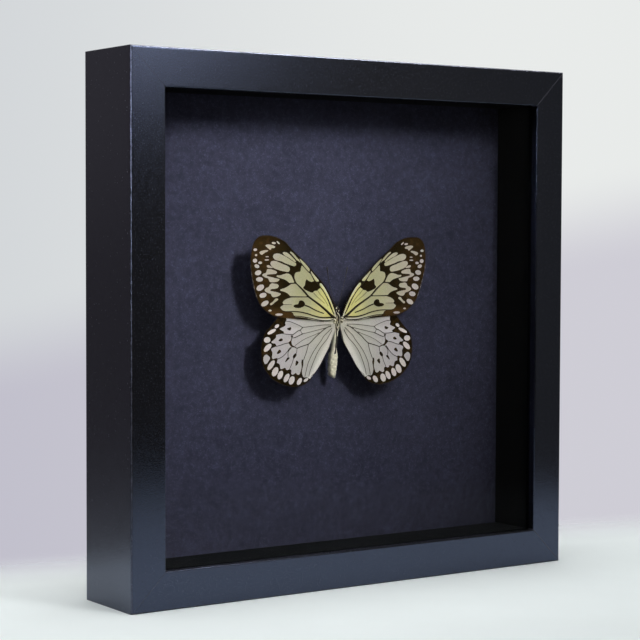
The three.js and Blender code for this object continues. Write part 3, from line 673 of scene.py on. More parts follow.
def smooth_line(points, steps=5, closed=False):
    """A line through the points that bends smoothly at each."""
    p = np.array(points, float)
    before = np.roll(p, 1, 0) if closed else np.vstack([2 * p[0] - p[1], p[:-1]])
    after = np.roll(p, -1, 0) if closed else np.vstack([p[1:], 2 * p[-1] - p[-2]])
    beyond = np.roll(p, -2, 0) if closed else np.vstack([p[2:], 2 * p[-1] - p[-2], 3 * p[-1] - 2 * p[-2]])
    last = len(p) if closed else len(p) - 1
    made = []
    for i in range(last):
        for t in np.arange(steps) / steps:
            a, b, c, d = before[i], p[i], after[i], beyond[i]
            made.append(0.5 * (2 * b + (c - a) * t + (2 * a - 5 * b + 4 * c - d) * t * t
                               + (3 * b - a - 3 * c + d) * t ** 3))
    if not closed:
        made.append(p[-1])
    return np.array(made)


def rounded_loop(points, passes=2):
    """A closed line with its corners cut back, which keeps the teeth of a marking."""
    p = np.array(points, float)
    for _ in range(passes):
        following = np.roll(p, -1, 0)
        p = np.stack([0.8 * p + 0.2 * following, 0.2 * p + 0.8 * following], 1).reshape(-1, 2)
    return p


def spot_loop(out, up, length, width, tilt, points=20):
    turn = np.linspace(0, 2 * math.pi, points, endpoint=False)
    angle = math.radians(tilt)
    along, across = length * np.cos(turn), width * np.sin(turn)
    return np.stack([out + along * math.cos(angle) + across * math.sin(angle),
                     up - along * math.sin(angle) + across * math.cos(angle)], 1)


def evenly(line, step):
    """Points a step apart along a line, with its ends kept."""
    gaps = np.linalg.norm(np.diff(line, axis=0), axis=1)
    run = np.concatenate([[0], np.cumsum(gaps)])
    wanted = np.linspace(0, run[-1], max(2, int(round(run[-1] / step)) + 1))
    return np.stack([np.interp(wanted, run, line[:, k]) for k in range(line.shape[1])], 1)


def inside_depth(points, loop):
    """How far each point is inside a closed line, in millimetres. Outside is negative."""
    depth = np.full(len(points), -FAR)
    low, high = loop.min(0) - FAR, loop.max(0) + FAR
    near = np.where(((points > low) & (points < high)).all(1))[0]
    here = points[near]
    best = np.full(len(here), FAR ** 2)
    inside = np.zeros(len(here), bool)
    for start, end in zip(loop, np.roll(loop, -1, 0)):
        way = end - start
        share = np.clip(((here - start) @ way) / max(way @ way, 1e-12), 0, 1)
        best = np.minimum(best, ((here - start - share[:, None] * way) ** 2).sum(1))
        if start[1] != end[1]:
            crossing = (end[0] - start[0]) * (here[:, 1] - start[1]) / (end[1] - start[1]) + start[0]
            inside ^= ((start[1] > here[:, 1]) != (end[1] > here[:, 1])) & (here[:, 0] < crossing)
    depth[near] = np.where(inside, 1, -1) * np.sqrt(best)
    return depth


def line_distance(points, line):
    """Distance to an open line, and how far along it the nearest place is, from 0 to 1."""
    best = np.full(len(points), 1e9)
    share_along = np.zeros(len(points))
    count = len(line) - 1
    for i in range(count):
        way = line[i + 1] - line[i]
        share = np.clip(((points - line[i]) @ way) / max(way @ way, 1e-12), 0, 1)
        far = ((points - line[i] - share[:, None] * way) ** 2).sum(1)
        closer = far < best
        best[closer] = far[closer]
        share_along[closer] = (i + share[closer]) / count
    return np.sqrt(best), share_along


# ------------------------------------------------------------------ meshes


def new_object(name, data):
    made = bpy.data.objects.new(name, data)
    bpy.context.scene.collection.objects.link(made)
    return made


def mesh_piece(name, points, faces, materials, attributes=None, face_material=None):
    """A smooth mesh from points in millimetres."""
    mesh = bpy.data.meshes.new(name)
    mesh.from_pydata((np.asarray(points, float) * MM).tolist(), [], [list(f) for f in faces])
    for material in materials:
        mesh.materials.append(material)
    for key, values in (attributes or {}).items():
        values = np.asarray(values, np.float32)
        kind, field = ("FLOAT_VECTOR", "vector") if values.ndim == 2 else ("FLOAT", "value")
        mesh.attributes.new(key, kind, "POINT").data.foreach_set(field, values.ravel())
    mesh.shade_smooth()
    if face_material is not None:
        mesh.polygons.foreach_set("material_index", np.asarray(face_material, np.int32))
    mesh.update()
    return new_object(name, mesh)


def line_piece(name, lines):
    """A curve object of plain lines, each a list of points in millimetres with their radii."""
    curve = bpy.data.curves.new(name, "CURVE")
    curve.dimensions = "3D"
    for points, radii in lines:
        spline = curve.splines.new("POLY")
        spline.points.add(len(points) - 1)
        packed = np.column_stack([np.asarray(points, float) * MM, np.ones(len(points))])
        spline.points.foreach_set("co", packed.ravel())
        spline.points.foreach_set("radius", np.asarray(radii, float) * MM)
    return new_object(name, curve)


def join(name, pieces):
    """Joins mesh objects into the first, keeping their materials and attributes."""
    with bpy.context.temp_override(active_object=pieces[0], object=pieces[0],
                                   selected_objects=pieces, selected_editable_objects=pieces):
        bpy.ops.object.join()
    pieces[0].name = name
    pieces[0].data.name = name
    return pieces[0]


def tube(points, radii, sides=8):
    """A closed tube round a line: points and faces."""
    points, radii = np.asarray(points, float), np.asarray(radii, float)
    way = np.gradient(points, axis=0)
    way /= np.linalg.norm(way, axis=1)[:, None]
    side = np.cross(way[0], (0.3, 1.0, 0.2))
    rings = []
    for i, (middle, radius) in enumerate(zip(points, radii)):
        side = side - way[i] * (side @ way[i])
        side /= np.linalg.norm(side)
        other = np.cross(way[i], side)
        turn = np.linspace(0, 2 * math.pi, sides, endpoint=False)
        rings.append(middle + radius * (np.outer(np.cos(turn), side) + np.outer(np.sin(turn), other)))
    return closed_rings(rings, points[0], points[-1])


def closed_rings(rings, first, last):
    """Joins rings of points one after another and closes both ends in a point."""
    sides, count = len(rings[0]), len(rings)
    places = np.vstack([*rings, [first], [last]])
    faces = []
    for i in range(count - 1):
        for k in range(sides):
            a, b = i * sides + k, i * sides + (k + 1) % sides
            faces.append((a, b, b + sides, a + sides))
    start, end = count * sides, count * sides + 1
    top = (count - 1) * sides
    faces += [(start, (k + 1) % sides, k) for k in range(sides)]
    faces += [(end, top + k, top + (k + 1) % sides) for k in range(sides)]
    return places, faces


def in_place(obj, slot, *nodes):
    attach(obj, BODY)
    if nodes:
        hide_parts(*nodes)
    return obj


# ------------------------------------------------------------------ geometry nodes


class Grower:
    """A Geometry Nodes tree with named inputs, run once on an object and turned into a plain mesh."""

    def __init__(self, name, inputs):
        self.tree = bpy.data.node_groups.new(name, "GeometryNodeTree")
        face = self.tree.interface
        face.new_socket("Geometry", in_out="INPUT", socket_type="NodeSocketGeometry")
        kinds = {float: "NodeSocketFloat", int: "NodeSocketInt", bpy.types.Material: "NodeSocketMaterial"}
        self.values = {}
        for label, value in inputs.items():
            socket = face.new_socket(label, in_out="INPUT", socket_type=kinds[type(value)])
            self.values[socket.identifier] = value
        face.new_socket("Geometry", in_out="OUTPUT", socket_type="NodeSocketGeometry")
        self.start = self.tree.nodes.new("NodeGroupInput")
        self.end = self.tree.nodes.new("NodeGroupOutput")

    def given(self, label):
        return self.start.outputs[label]

    def node(self, kind, plugs=None, **options):
        made = self.tree.nodes.new(kind)
        for name, value in options.items():
            setattr(made, name, value)
        for key, value in (plugs or {}).items():
            socket = made.inputs[key]
            if isinstance(value, bpy.types.NodeSocket):
                self.tree.links.new(value, socket)
            else:
                socket.default_value = value
        return made

    def named(self, name, kind="FLOAT"):
        return self.node("GeometryNodeInputNamedAttribute", {"Name": name}, data_type=kind).outputs[0]

    def math(self, operation, first, second):
        return self.node("ShaderNodeMath", {0: first, 1: second}, operation=operation).outputs[0]

    def random(self, low, high, seed, vector=False):
        if vector:
            plugs = {0: (low,) * 3, 1: (high,) * 3, 8: seed}
            return self.node("FunctionNodeRandomValue", plugs, data_type="FLOAT_VECTOR").outputs[0]
        return self.node("FunctionNodeRandomValue", {2: low, 3: high, 8: seed}, data_type="FLOAT").outputs[1]

    def blade(self, radius, length):
        """A tapered three-sided hair that stands on the origin along +Z."""
        plugs = {"Vertices": 3, "Side Segments": 2, "Radius Bottom": radius, "Radius Top": 0.0,
                 "Depth": length}
        return self.node("GeometryNodeMeshCone", plugs, fill_type="TRIANGLE_FAN").outputs[0]

    def stand(self, points, direction, shape, size):
        """Stands a copy of shape on each point, along direction."""
        turned = self.node("FunctionNodeAlignRotationToVector", {"Vector": direction}, axis="Z").outputs[0]
        plugs = {"Points": points, "Instance": shape, "Rotation": turned, "Scale": size}
        return self.node("GeometryNodeInstanceOnPoints", plugs).outputs[0]

    def finish(self, geometry):
        real = self.node("GeometryNodeRealizeInstances", {0: geometry}).outputs[0]
        smooth = self.node("GeometryNodeSetShadeSmooth", {0: real}).outputs[0]
        painted = self.node("GeometryNodeSetMaterial", {0: smooth, "Material": self.given("Material")})
        self.tree.links.new(painted.outputs[0], self.end.inputs[0])

    def grow(self, name, source):
        """Runs the tree on source and returns the result as a new mesh object."""
        modifier = source.modifiers.new(self.tree.name, "NODES")
        modifier.node_group = self.tree
        for identifier, value in self.values.items():
            modifier[identifier] = value
        seen = source.evaluated_get(bpy.context.evaluated_depsgraph_get())
        mesh = bpy.data.meshes.new_from_object(seen)
        mesh.name = name
        source.modifiers.remove(modifier)
        return new_object(name, mesh)


def grow_tubes(name, lines, material, sides=6):
    """Round tubes along lines, as thick as the radius that each point holds."""
    source = line_piece(name + "_lines", lines)
    grower = Grower(name, {"Sides": sides, "Material": material})
    circle = {"Resolution": grower.given("Sides"), "Radius": 1.0}
    ring = grower.node("GeometryNodeCurvePrimitiveCircle", circle)
    radius = grower.node("GeometryNodeInputRadius").outputs[0]
    plugs = {"Curve": grower.given("Geometry"), "Profile Curve": ring.outputs[0], "Scale": radius,
             "Fill Caps": True}
    grower.finish(grower.node("GeometryNodeCurveToMesh", plugs).outputs[0])
    made = grower.grow(name, source)
    bpy.data.objects.remove(source)
    return made


def grow_hair(name, skin, material, density, length, radius, lean, seed):
    """Short tapered hairs where the skin's "furry" attribute says, leaning towards lean."""
    grower = Grower(name, {"Density": density, "Length": length, "Radius": radius, "Seed": seed,
                           "Material": material})
    thick = grower.math("MULTIPLY", grower.given("Density"), grower.named("furry"))
    scatter = grower.node("GeometryNodeDistributePointsOnFaces",
                          {"Mesh": grower.given("Geometry"), "Density": thick, "Seed": grower.given("Seed")})
    leaning = grower.node("ShaderNodeVectorMath", {0: scatter.outputs["Normal"], 1: lean}).outputs[0]
    loose = grower.random(-0.45, 0.45, grower.given("Seed"), vector=True)
    direction = grower.node("ShaderNodeVectorMath", {0: leaning, 1: loose}).outputs[0]
    size = grower.random(0.45, 1.1, grower.math("ADD", grower.given("Seed"), 1))
    shape = grower.blade(grower.given("Radius"), grower.given("Length"))
    grower.finish(grower.stand(scatter.outputs["Points"], direction, shape, size))
    return grower.grow(name, skin)


def grow_fringe(name, edge, outward, pale, material, seed):
    """A fringe of short flat scales that stand out from the wing's edge."""
    mesh = bpy.data.meshes.new(name + "_edge")
    mesh.from_pydata((edge * MM).tolist(), [], [])
    mesh.attributes.new("outward", "FLOAT_VECTOR", "POINT").data.foreach_set("vector", outward.ravel())
    mesh.attributes.new("pale", "FLOAT", "POINT").data.foreach_set("value", pale)
    source = new_object(name + "_edge", mesh)
    grower = Grower(name, {"Length": 0.00055, "Radius": 0.00007, "Seed": seed, "Material": material})
    loose = grower.random(-0.25, 0.25, grower.given("Seed"), vector=True)
    straight = grower.named("outward", "FLOAT_VECTOR")
    way = grower.node("ShaderNodeVectorMath", {0: straight, 1: loose}).outputs[0]
    size = grower.random(0.6, 1.15, grower.math("ADD", grower.given("Seed"), 1))
    points = grower.node("GeometryNodeMeshToPoints", {"Mesh": grower.given("Geometry")}).outputs[0]
    shape = grower.blade(grower.given("Radius"), grower.given("Length"))
    grower.finish(grower.stand(points, way, shape, size))
    made = grower.grow(name, source)
    bpy.data.objects.remove(source)
    return made


# ------------------------------------------------------------------ wings


class WingSheet:
    """A wing drawn flat: its points, triangles, markings and veins, in millimetres."""

    def __init__(self, edge, pale, spots, blotches, veins):
        self.margin = evenly(np.vstack([smooth_line(edge, 6, True), edge[:1]]), SHEET_STEP)[:-1]
        self.veins = [(evenly(smooth_line(line), SHEET_STEP), *rest) for line, *rest in veins]
        self.mesh_flat()
        p = self.points
        self.rim, _ = line_distance(p, np.vstack([self.margin, self.margin[:1]]))
        spot = np.max([inside_depth(p, spot_loop(*s)) for s in spots], axis=0)
        ground = np.max([inside_depth(p, rounded_loop(loop)) for loop in pale], axis=0)
        dark = -np.maximum(ground, spot)
        for loop in blotches:
            dark = np.maximum(dark, inside_depth(p, rounded_loop(loop)))
        self.dark = dark
        self.spot = np.clip(0.5 + (spot - ground) * 2, 0, 1)
        self.mark_veins()

    def mesh_flat(self):
        low, high = self.margin.min(0), self.margin.max(0)
        rows = np.arange(low[1], high[1], SHEET_STEP * math.sqrt(0.75))
        across = np.arange(low[0], high[0], SHEET_STEP)
        grid = [np.column_stack([across + (i % 2) * SHEET_STEP / 2, np.full(len(across), v)])
                for i, v in enumerate(rows)]
        grid = np.vstack(grid)
        grid = grid[inside_depth(grid, self.margin) > 0.55 * SHEET_STEP]
        lines = [line[inside_depth(line, self.margin) > 0.3 * SHEET_STEP] for line, *_ in self.veins]
        lines = [line for line in lines if len(line) > 1]
        on_veins = np.vstack(lines)
        taken = {(round(a / SHEET_STEP), round(b / SHEET_STEP)): [] for a, b in on_veins}
        for a, b in on_veins:
            taken[(round(a / SHEET_STEP), round(b / SHEET_STEP))].append((a, b))
        free = []
        for a, b in grid:
            i, j = round(a / SHEET_STEP), round(b / SHEET_STEP)
            close = [q for di in (-1, 0, 1) for dj in (-1, 0, 1) for q in taken.get((i + di, j + dj), ())]
            if all((a - q[0]) ** 2 + (b - q[1]) ** 2 > (0.5 * SHEET_STEP) ** 2 for q in close):
                free.append((a, b))
        count = len(self.margin)
        start, edges = count, []
        for line in lines:
            edges += [(start + k, start + k + 1) for k in range(len(line) - 1)]
            start += len(line)
        everything = [Vector(q) for q in np.vstack([self.margin, on_veins, np.array(free)])]
        loop = list(range(count))
        points, _, faces, *_ = delaunay_2d_cdt(everything, edges, [loop], 1, 1e-5, False)
        self.points = np.array([tuple(q) for q in points])
        faces = np.array([tuple(f) for f in faces])
        a, b, c = (self.points[faces[:, k]] for k in range(3))
        turned = (b - a)[:, 0] * (c - a)[:, 1] - (b - a)[:, 1] * (c - a)[:, 0] < 0
        faces[turned] = faces[turned][:, ::-1]
        self.faces = faces

    def mark_veins(self):
        """Leaves, at each point, how far inside the nearest vein it is, and how dark that vein is."""
        self.vein = np.full(len(self.points), -FAR)
        self.tone = np.zeros(len(self.points))
        self.vein_gap = np.full(len(self.points), 9.0)
        for line, first, last, tone in self.veins:
            far, share = line_distance(self.points, line)
            depth = (first + (last - first) * share) / 2 - far
            closer = depth > self.vein
            self.vein[closer] = depth[closer]
            self.tone[closer] = tone
            self.vein_gap = np.minimum(self.vein_gap, far)

    def sag(self):
        """The membrane sags back a little between the veins and rolls gently."""
        u, v = self.points.T
        pocket = 0.13 * (1 - np.exp(-(self.vein_gap / 1.3) ** 2))
        roll = 0.12 * np.sin(0.31 * u + 0.17 * v + 0.6) * np.sin(0.23 * v - 0.09 * u)
        return -pocket + roll * np.clip((u - 4) / 10, 0, 1)

    def outward(self, line):
        ahead = np.roll(line, -1, 0) - np.roll(line, 1, 0)
        ahead /= np.linalg.norm(ahead, axis=1)[:, None]
        normal = np.column_stack([ahead[:, 1], -ahead[:, 0]])
        probe = inside_depth(line + 0.1 * normal, self.margin)
        return np.where((probe > 0)[:, None], -normal, normal)


def forewing_height(u, v):
    """How far the forewing stands in front of the frame's middle plane."""
    return 1.51 - 0.0118 * u + 0.0428 * v


def hindwing_height(u, v):
    """The hindwing rises away from the body and tucks under the forewing."""
    free = 0.2 + 1.2 * np.sin(0.5 * math.pi * np.minimum(u / 32, 1))
    tucked = forewing_height(u, v) - UNDERLAP
    share = np.clip((v + 5.5) / 5, 0, 1)
    share = share * share * (3 - 2 * share)
    return free + (tucked - free) * share


def set_wing(u, v, height, pose):
    """Points of a drawn wing in the frame, in millimetres."""
    angle = math.radians(pose["turn"])
    du, dv = u - HINGE[0], v - HINGE[1]
    out = HINGE[0] + du * math.cos(angle) + dv * math.sin(angle) + pose["out"]
    up = HINGE[1] - du * math.sin(angle) + dv * math.cos(angle) + pose["up"]
    return np.column_stack([pose["side"] * out, -height, CENTRE_Z + up])


SIGHT_SLOPE = 0.687  # how far the stage's camera sees a point shift sideways for each millimetre forward
DRAWN_HEIGHT = 0.5  # height of the flat plane that the hindwings are drawn on


def place_forewing(u, v, lift, pose):
    return set_wing(u, v, forewing_height(u, v) + lift, pose)


def place_hindwing(u, v, lift, pose):
    """Moves raised points outwards. On the left wing this keeps them where the camera sees them drawn."""
    height = hindwing_height(u, v)
    near_edge = 1 / (1 + np.exp((u + 0.45 * v - 1.8) / 0.7))
    u = u - pose.get("unfold", 0) * near_edge * np.exp(-((v + 6.5) / 4.5) ** 2)
    return set_wing(u + SIGHT_SLOPE * (height - DRAWN_HEIGHT), v, height + lift, pose)


# Hair at a wing's root: hairs in a square metre, length and radius in metres
ROOT_HAIR = (1.1e7, 0.0007, 0.000025)


def build_wing(name, sheet, place, pose, materials, pale_dashes, seed):
    """One wing: a thin closed sheet, raised veins, a fringed edge and hair at the root."""
    scales, wall, fringe, hair = materials
    u, v = sheet.points.T
    sag = sheet.sag()
    count = len(u)
    front = place(u, v, sag + MEMBRANE / 2, pose)
    back = place(u, v, sag - MEMBRANE / 2, pose)
    faces = sheet.faces if pose["side"] > 0 else sheet.faces[:, ::-1]
    edges = np.vstack([faces[:, [0, 1]], faces[:, [1, 2]], faces[:, [2, 0]]])
    seen = {tuple(e) for e in edges.tolist()}
    rim = [(b, a, a + count, b + count) for a, b in seen if (b, a) not in seen]
    all_faces = faces.tolist() + (faces[:, ::-1] + count).tolist() + sorted(rim)
    drawn = np.column_stack([u, v, np.zeros(count)])
    near_root = np.exp(-np.maximum(np.hypot(u - 2, v - 1) - 1.5, 0) / 2.2)
    marks = {"drawn": drawn, "dark": sheet.dark, "vein": sheet.vein, "vein_tone": sheet.tone,
             "rim": sheet.rim, "spot": sheet.spot, "furry": near_root,
             "black": np.zeros(count), "olive": 0.15 * near_root}
    marks = {key: np.concatenate([value, value]) for key, value in marks.items()}
    membrane = mesh_piece(name, np.vstack([front, back]), all_faces, [scales], marks)
    lines = []
    for line, first, last, tone in sheet.veins:
        if tone < FAINT_VEIN:
            continue
        radii = 0.5 * np.linspace(first, last, len(line)) * RAISED_SHARE
        radii[0] *= 0.5
        radii[-1] *= 0.5
        near = [int(np.argmin(((sheet.points - q) ** 2).sum(1))) for q in line]
        lines.append((place(line[:, 0], line[:, 1], sag[near], pose), radii))
    veins = grow_tubes(name + "_veins", lines, wall)
    edge_line = evenly(np.vstack([sheet.margin, sheet.margin[:1]]), FRINGE_STEP)[:-1]
    away = sheet.outward(edge_line)
    free = np.hypot(edge_line[:, 0], edge_line[:, 1]) > FRINGE_START
    edge_line, away = edge_line[free], away[free]
    pale = np.zeros(len(edge_line))
    for a, b in pale_dashes:
        pale = np.maximum(pale, np.exp(-(((edge_line - (a, b)) ** 2).sum(1)) / 0.9))
    base = place(edge_line[:, 0], edge_line[:, 1], np.zeros(len(edge_line)), pose)
    tip = place(edge_line[:, 0] + away[:, 0], edge_line[:, 1] + away[:, 1], np.zeros(len(edge_line)), pose)
    hem = grow_fringe(name + "_fringe", base, tip - base, pale, fringe, seed)
    lean = (pose["side"] * 0.9, 0.0, 0.2)
    root = grow_hair(name + "_hair", membrane, hair, *ROOT_HAIR, lean, seed + 5)
    return join(name, [membrane, veins, hem, root])


FORE_DASHES = [(50.3, 27.5), (49.6, 24), (48.8, 20.8), (48.3, 18), (47, 14)]


def wing_materials(hind):
    name = "hindwing_scales" if hind else "forewing_scales"
    return wing_scales(name, hind), vein_wall(), margin_fringe(), body_hair()


def build_forewings():
    sheet = WingSheet(FOREWING_EDGE, [FORE_BASE, *FORE_PALE.values()], FORE_SPOTS,
                      FORE_BLOTCHES.values(), FORE_VEINS)
    materials = wing_materials(False)
    for name, pose, seed in (("forewing_left", FORE_LEFT, 11), ("forewing_right", FORE_RIGHT, 12)):
        wing = build_wing(name + "_scaled", sheet, place_forewing, pose, materials, FORE_DASHES, seed)
        in_place(wing, "forewing_scales", name)


def build_hindwings():
    sheet = WingSheet(HINDWING_EDGE, [HIND_GROUND, HIND_TEARDROP], HIND_SPOTS,
                      HIND_BLOTCHES.values(), HIND_VEINS)
    materials = wing_materials(True)
    for name, pose, seed in (("hindwing_left", HIND_LEFT, 21), ("hindwing_right", HIND_RIGHT, 22)):
        wing = build_wing(name + "_scaled", sheet, place_hindwing, pose, materials, [], seed)
        in_place(wing, "hindwing_scales", name)


# ------------------------------------------------------------------ body

# Sections from the head down: height, middle across, middle in depth, half width, half depth
BODY_SECTIONS = [
    (7.45, -0.6, -0.35, 0.45, 0.45), (7.15, -0.6, -0.35, 0.95, 0.9), (6.6, -0.6, -0.32, 1.28, 1.2),
    (6.0, -0.6, -0.3, 1.4, 1.3), (5.4, -0.6, -0.25, 1.25, 1.15), (4.95, -0.6, -0.15, 0.85, 0.85),
    (4.6, -0.58, -0.1, 1.05, 1.0), (4.1, -0.55, 0.1, 1.45, 1.4), (3.2, -0.5, 0.4, 1.95, 2.0),
    (2.0, -0.5, 0.6, 2.25, 2.4), (0.6, -0.5, 0.65, 2.35, 2.5), (-0.8, -0.5, 0.65, 2.25, 2.4),
    (-2.0, -0.5, 0.65, 2.0, 2.15), (-3.0, -0.5, 0.75, 1.75, 1.8), (-3.9, -0.5, 0.9, 1.5, 1.5),
    (-4.8, -0.5, 1.05, 1.35, 1.35), (-6.0, -0.5, 1.2, 1.4, 1.42), (-8.0, -0.5, 1.45, 1.42, 1.5),
    (-10.0, -0.55, 1.75, 1.42, 1.5), (-12.2, -0.6, 2.1, 1.45, 1.5), (-13.8, -0.65, 2.35, 1.55, 1.6),
    (-14.6, -0.65, 2.5, 1.75, 1.7), (-15.3, -0.62, 2.65, 2.0, 1.85), (-17.5, -0.6, 2.9, 2.05, 1.95),
    (-20.0, -0.6, 3.15, 2.05, 1.9), (-22.4, -0.62, 3.4, 1.95, 1.8), (-24.2, -0.62, 3.6, 1.8, 1.7),
    (-25.3, -0.55, 3.75, 1.7, 1.6), (-26.0, -0.2, 3.85, 1.35, 1.3), (-26.6, 0.35, 3.9, 0.85, 0.85),
    (-27.1, 0.8, 3.95, 0.4, 0.4),
]
SEGMENT_ENDS = (-4.3, -6.4, -8.7, -11.0, -13.2, -15.0, -18.4, -21.2, -23.8)
BODY_SIDES = 56
BODY_STEP = 0.16


def body_skin(material):
    """Head, thorax and abdomen as one skin, with its grooves and its stripes."""
    line = smooth_line(BODY_SECTIONS, 8)
    line = evenly(line, BODY_STEP)
    turn = np.linspace(0, 2 * math.pi, BODY_SIDES, endpoint=False)
    rings, black, olive, furry = [], [], [], []
    for z, x, y, wide, deep in line:
        groove = sum(math.exp(-((z - end) / 0.22) ** 2) for end in SEGMENT_ENDS)
        swell = 1 - 0.07 * groove
        if z > -3.5:
            middle = np.exp(-(turn / 0.16) ** 2) + np.exp(-((turn - 2 * math.pi) / 0.16) ** 2)
            swell = swell - 0.035 * middle * (z < 4.4)
            swell = swell + 0.018 * np.sin(3 * turn + 0.8 * z) * (z < 4.6)
        ripple = 0.012 * np.sin(5 * turn + 1.7 * z) + 0.01 * np.sin(9 * turn - 2.3 * z)
        if z < -14:
            ripple = ripple + 0.03 * np.sin(4 * turn + 3.1 * z) + 0.025 * np.sin(7 * turn - 1.9 * z)
        size = swell + ripple
        flat = float(np.interp(z, [-15.5, -13], [0.62, 1]))
        across, toward = (np.sign(wave) * np.abs(wave) ** flat for wave in (np.sin(turn), np.cos(turn)))
        ring = np.column_stack([x + wide * size * across, y - deep * size * toward,
                                np.full(BODY_SIDES, CENTRE_Z + z)])
        rings.append(ring)
        signed = np.where(turn > math.pi, turn - 2 * math.pi, turn)
        black.append(body_black(z, signed))
        olive.append(body_olive(z, signed))
        thorax = np.interp(z, [-27, -15, -6, -3, 0, 4, 5, 7.5], [0.3, 0.12, 0.08, 0.7, 1, 1, 0.5, 0.5])
        furry.append(np.full(BODY_SIDES, thorax))
    first = (line[0][1], line[0][2], CENTRE_Z + line[0][0] + 0.15)
    last = (line[-1][1], line[-1][2], CENTRE_Z + line[-1][0] - 0.15)
    places, faces = closed_rings(rings, first, last)
    ends = [0.0, 0.0]
    marks = {"black": np.concatenate([*black, ends]), "olive": np.concatenate([*olive, ends]),
             "furry": np.concatenate([*furry, ends])}
    return mesh_piece("body_skin", places, faces, [material], marks)


def band(angle, middle, half, soft=0.12):
    return np.clip(0.5 + (half - np.abs(angle - middle)) / soft, 0, 1)


def body_black(z, angle):
    """How black each place round the body is: 0 at the front's middle line, growing round the sides."""
    if z > 4.9:
        spots = sum(np.exp(-(((angle - a) / 0.32) ** 2 + ((z - h) / 0.42) ** 2))
                    for a, h in ((-0.75, 7.0), (-0.8, 5.6), (0.25, 5.7), (-2.0, 6.4), (1.4, 6.3), (2.6, 6)))
        return np.clip(1.15 - 1.4 * spots, 0, 1)
    if z > -2.6:
        middle = np.interp(z, [-2.6, -1.2, 0.5, 2, 3.5, 4.9], [-0.25, -0.28, 0.0, -0.02, -0.15, -0.5])
        half = np.interp(z, [-2.4, -1.6, 0.5, 2, 4.9], [-0.1, 0.17, 0.19, 0.24, 0.3])
        left = band(angle, -1.3 + 0.08 * math.sin(1.9 * z), 0.12)
        right = band(angle, 0.62 + 0.06 * math.sin(2.3 * z), 0.13)
        return np.maximum(band(angle, middle, half), np.maximum(left, right))
    if z > -15.8:
        places = [-15.6, -15.2, -12.8, -11.6, -7.2, -6.6, -2.9, -2.6]
        middle = np.interp(z, places, [-0.1, -0.05, 0.2, 0.45, 0.5, 0.05, -0.2, -0.3])
        half = np.interp(z, places, [-0.1, 0.14, 0.27, 0.72, 0.78, 0.3, 0.25, -0.1])
        return band(angle, middle, half)
    return np.zeros(len(angle))


def body_olive(z, angle):
    """Olive stripes along the thorax and a soft tint on the abdomen's rings."""
    if -3.5 < z < 4.9:
        bend = 0.12 * math.sin(1.3 * z)
        stripes = sum(np.exp(-((angle - a - bend) / 0.15) ** 2) for a in (-1.75, -1.0, -0.5, 0.32, 1.0, 1.5))
        return 1.3 * stripes + 0.5 * math.exp(-((z + 2.6) / 0.35) ** 2)
    ring = sum(math.exp(-((z - end) / 0.3) ** 2) for end in SEGMENT_ENDS)
    return np.full(len(angle), 0.2 * ring)


def ball(middle, radii, material, name, rows=16, sides=24):
    rings = []
    for k in range(1, rows):
        polar = math.pi * k / rows
        turn = np.linspace(0, 2 * math.pi, sides, endpoint=False)
        rings.append(np.column_stack([middle[0] + radii[0] * math.sin(polar) * np.cos(turn),
                                      middle[1] + radii[1] * math.sin(polar) * np.sin(turn),
                                      np.full(sides, middle[2] + radii[2] * math.cos(polar))]))
    top = (middle[0], middle[1], middle[2] + radii[2])
    foot = (middle[0], middle[1], middle[2] - radii[2])
    places, faces = closed_rings(rings[::-1], foot, top)
    ringed = 0.6 + 0.5 * np.sin(4 * places[:, 2] + 2 * places[:, 0])
    return mesh_piece(name, places, faces, [material], {"olive": ringed})


def limb(name, points, radii, material, sides=8):
    line = smooth_line([(*p, r) for p, r in zip(points, radii)], 6)
    places, faces = tube(line[:, :3], line[:, 3], sides)
    return mesh_piece(name, places, faces, [material])


# Legs folded under the thorax, for one side: places out from the middle, in depth, and up
LEGS = [
    [(0.9, 2.6, 3.4), (1.9, 4.6, 4.6), (1.2, 5.2, 6.6), (0.7, 4.4, 7.6)],
    [(1.0, 3.2, 1.6), (3.0, 5.2, 0.4), (2.0, 6.6, 3.6), (0.8, 6.2, 6.8), (0.5, 5.2, 8.8)],
    [(1.0, 3.3, -0.6), (3.3, 5.4, -2.8), (1.6, 6.8, -0.2), (0.8, 6.6, 4.0), (0.9, 5.8, 6.2)],
]
LEG_RADII = {4: [0.34, 0.26, 0.18, 0.08], 5: [0.38, 0.3, 0.22, 0.15, 0.08]}
TONGUE_POINTS = 90
BODY_HAIR_DENSITY = 3.2e7  # hairs in a square metre where the skin is fully furry
BODY_HAIR_RADIUS = 0.000032  # in metres


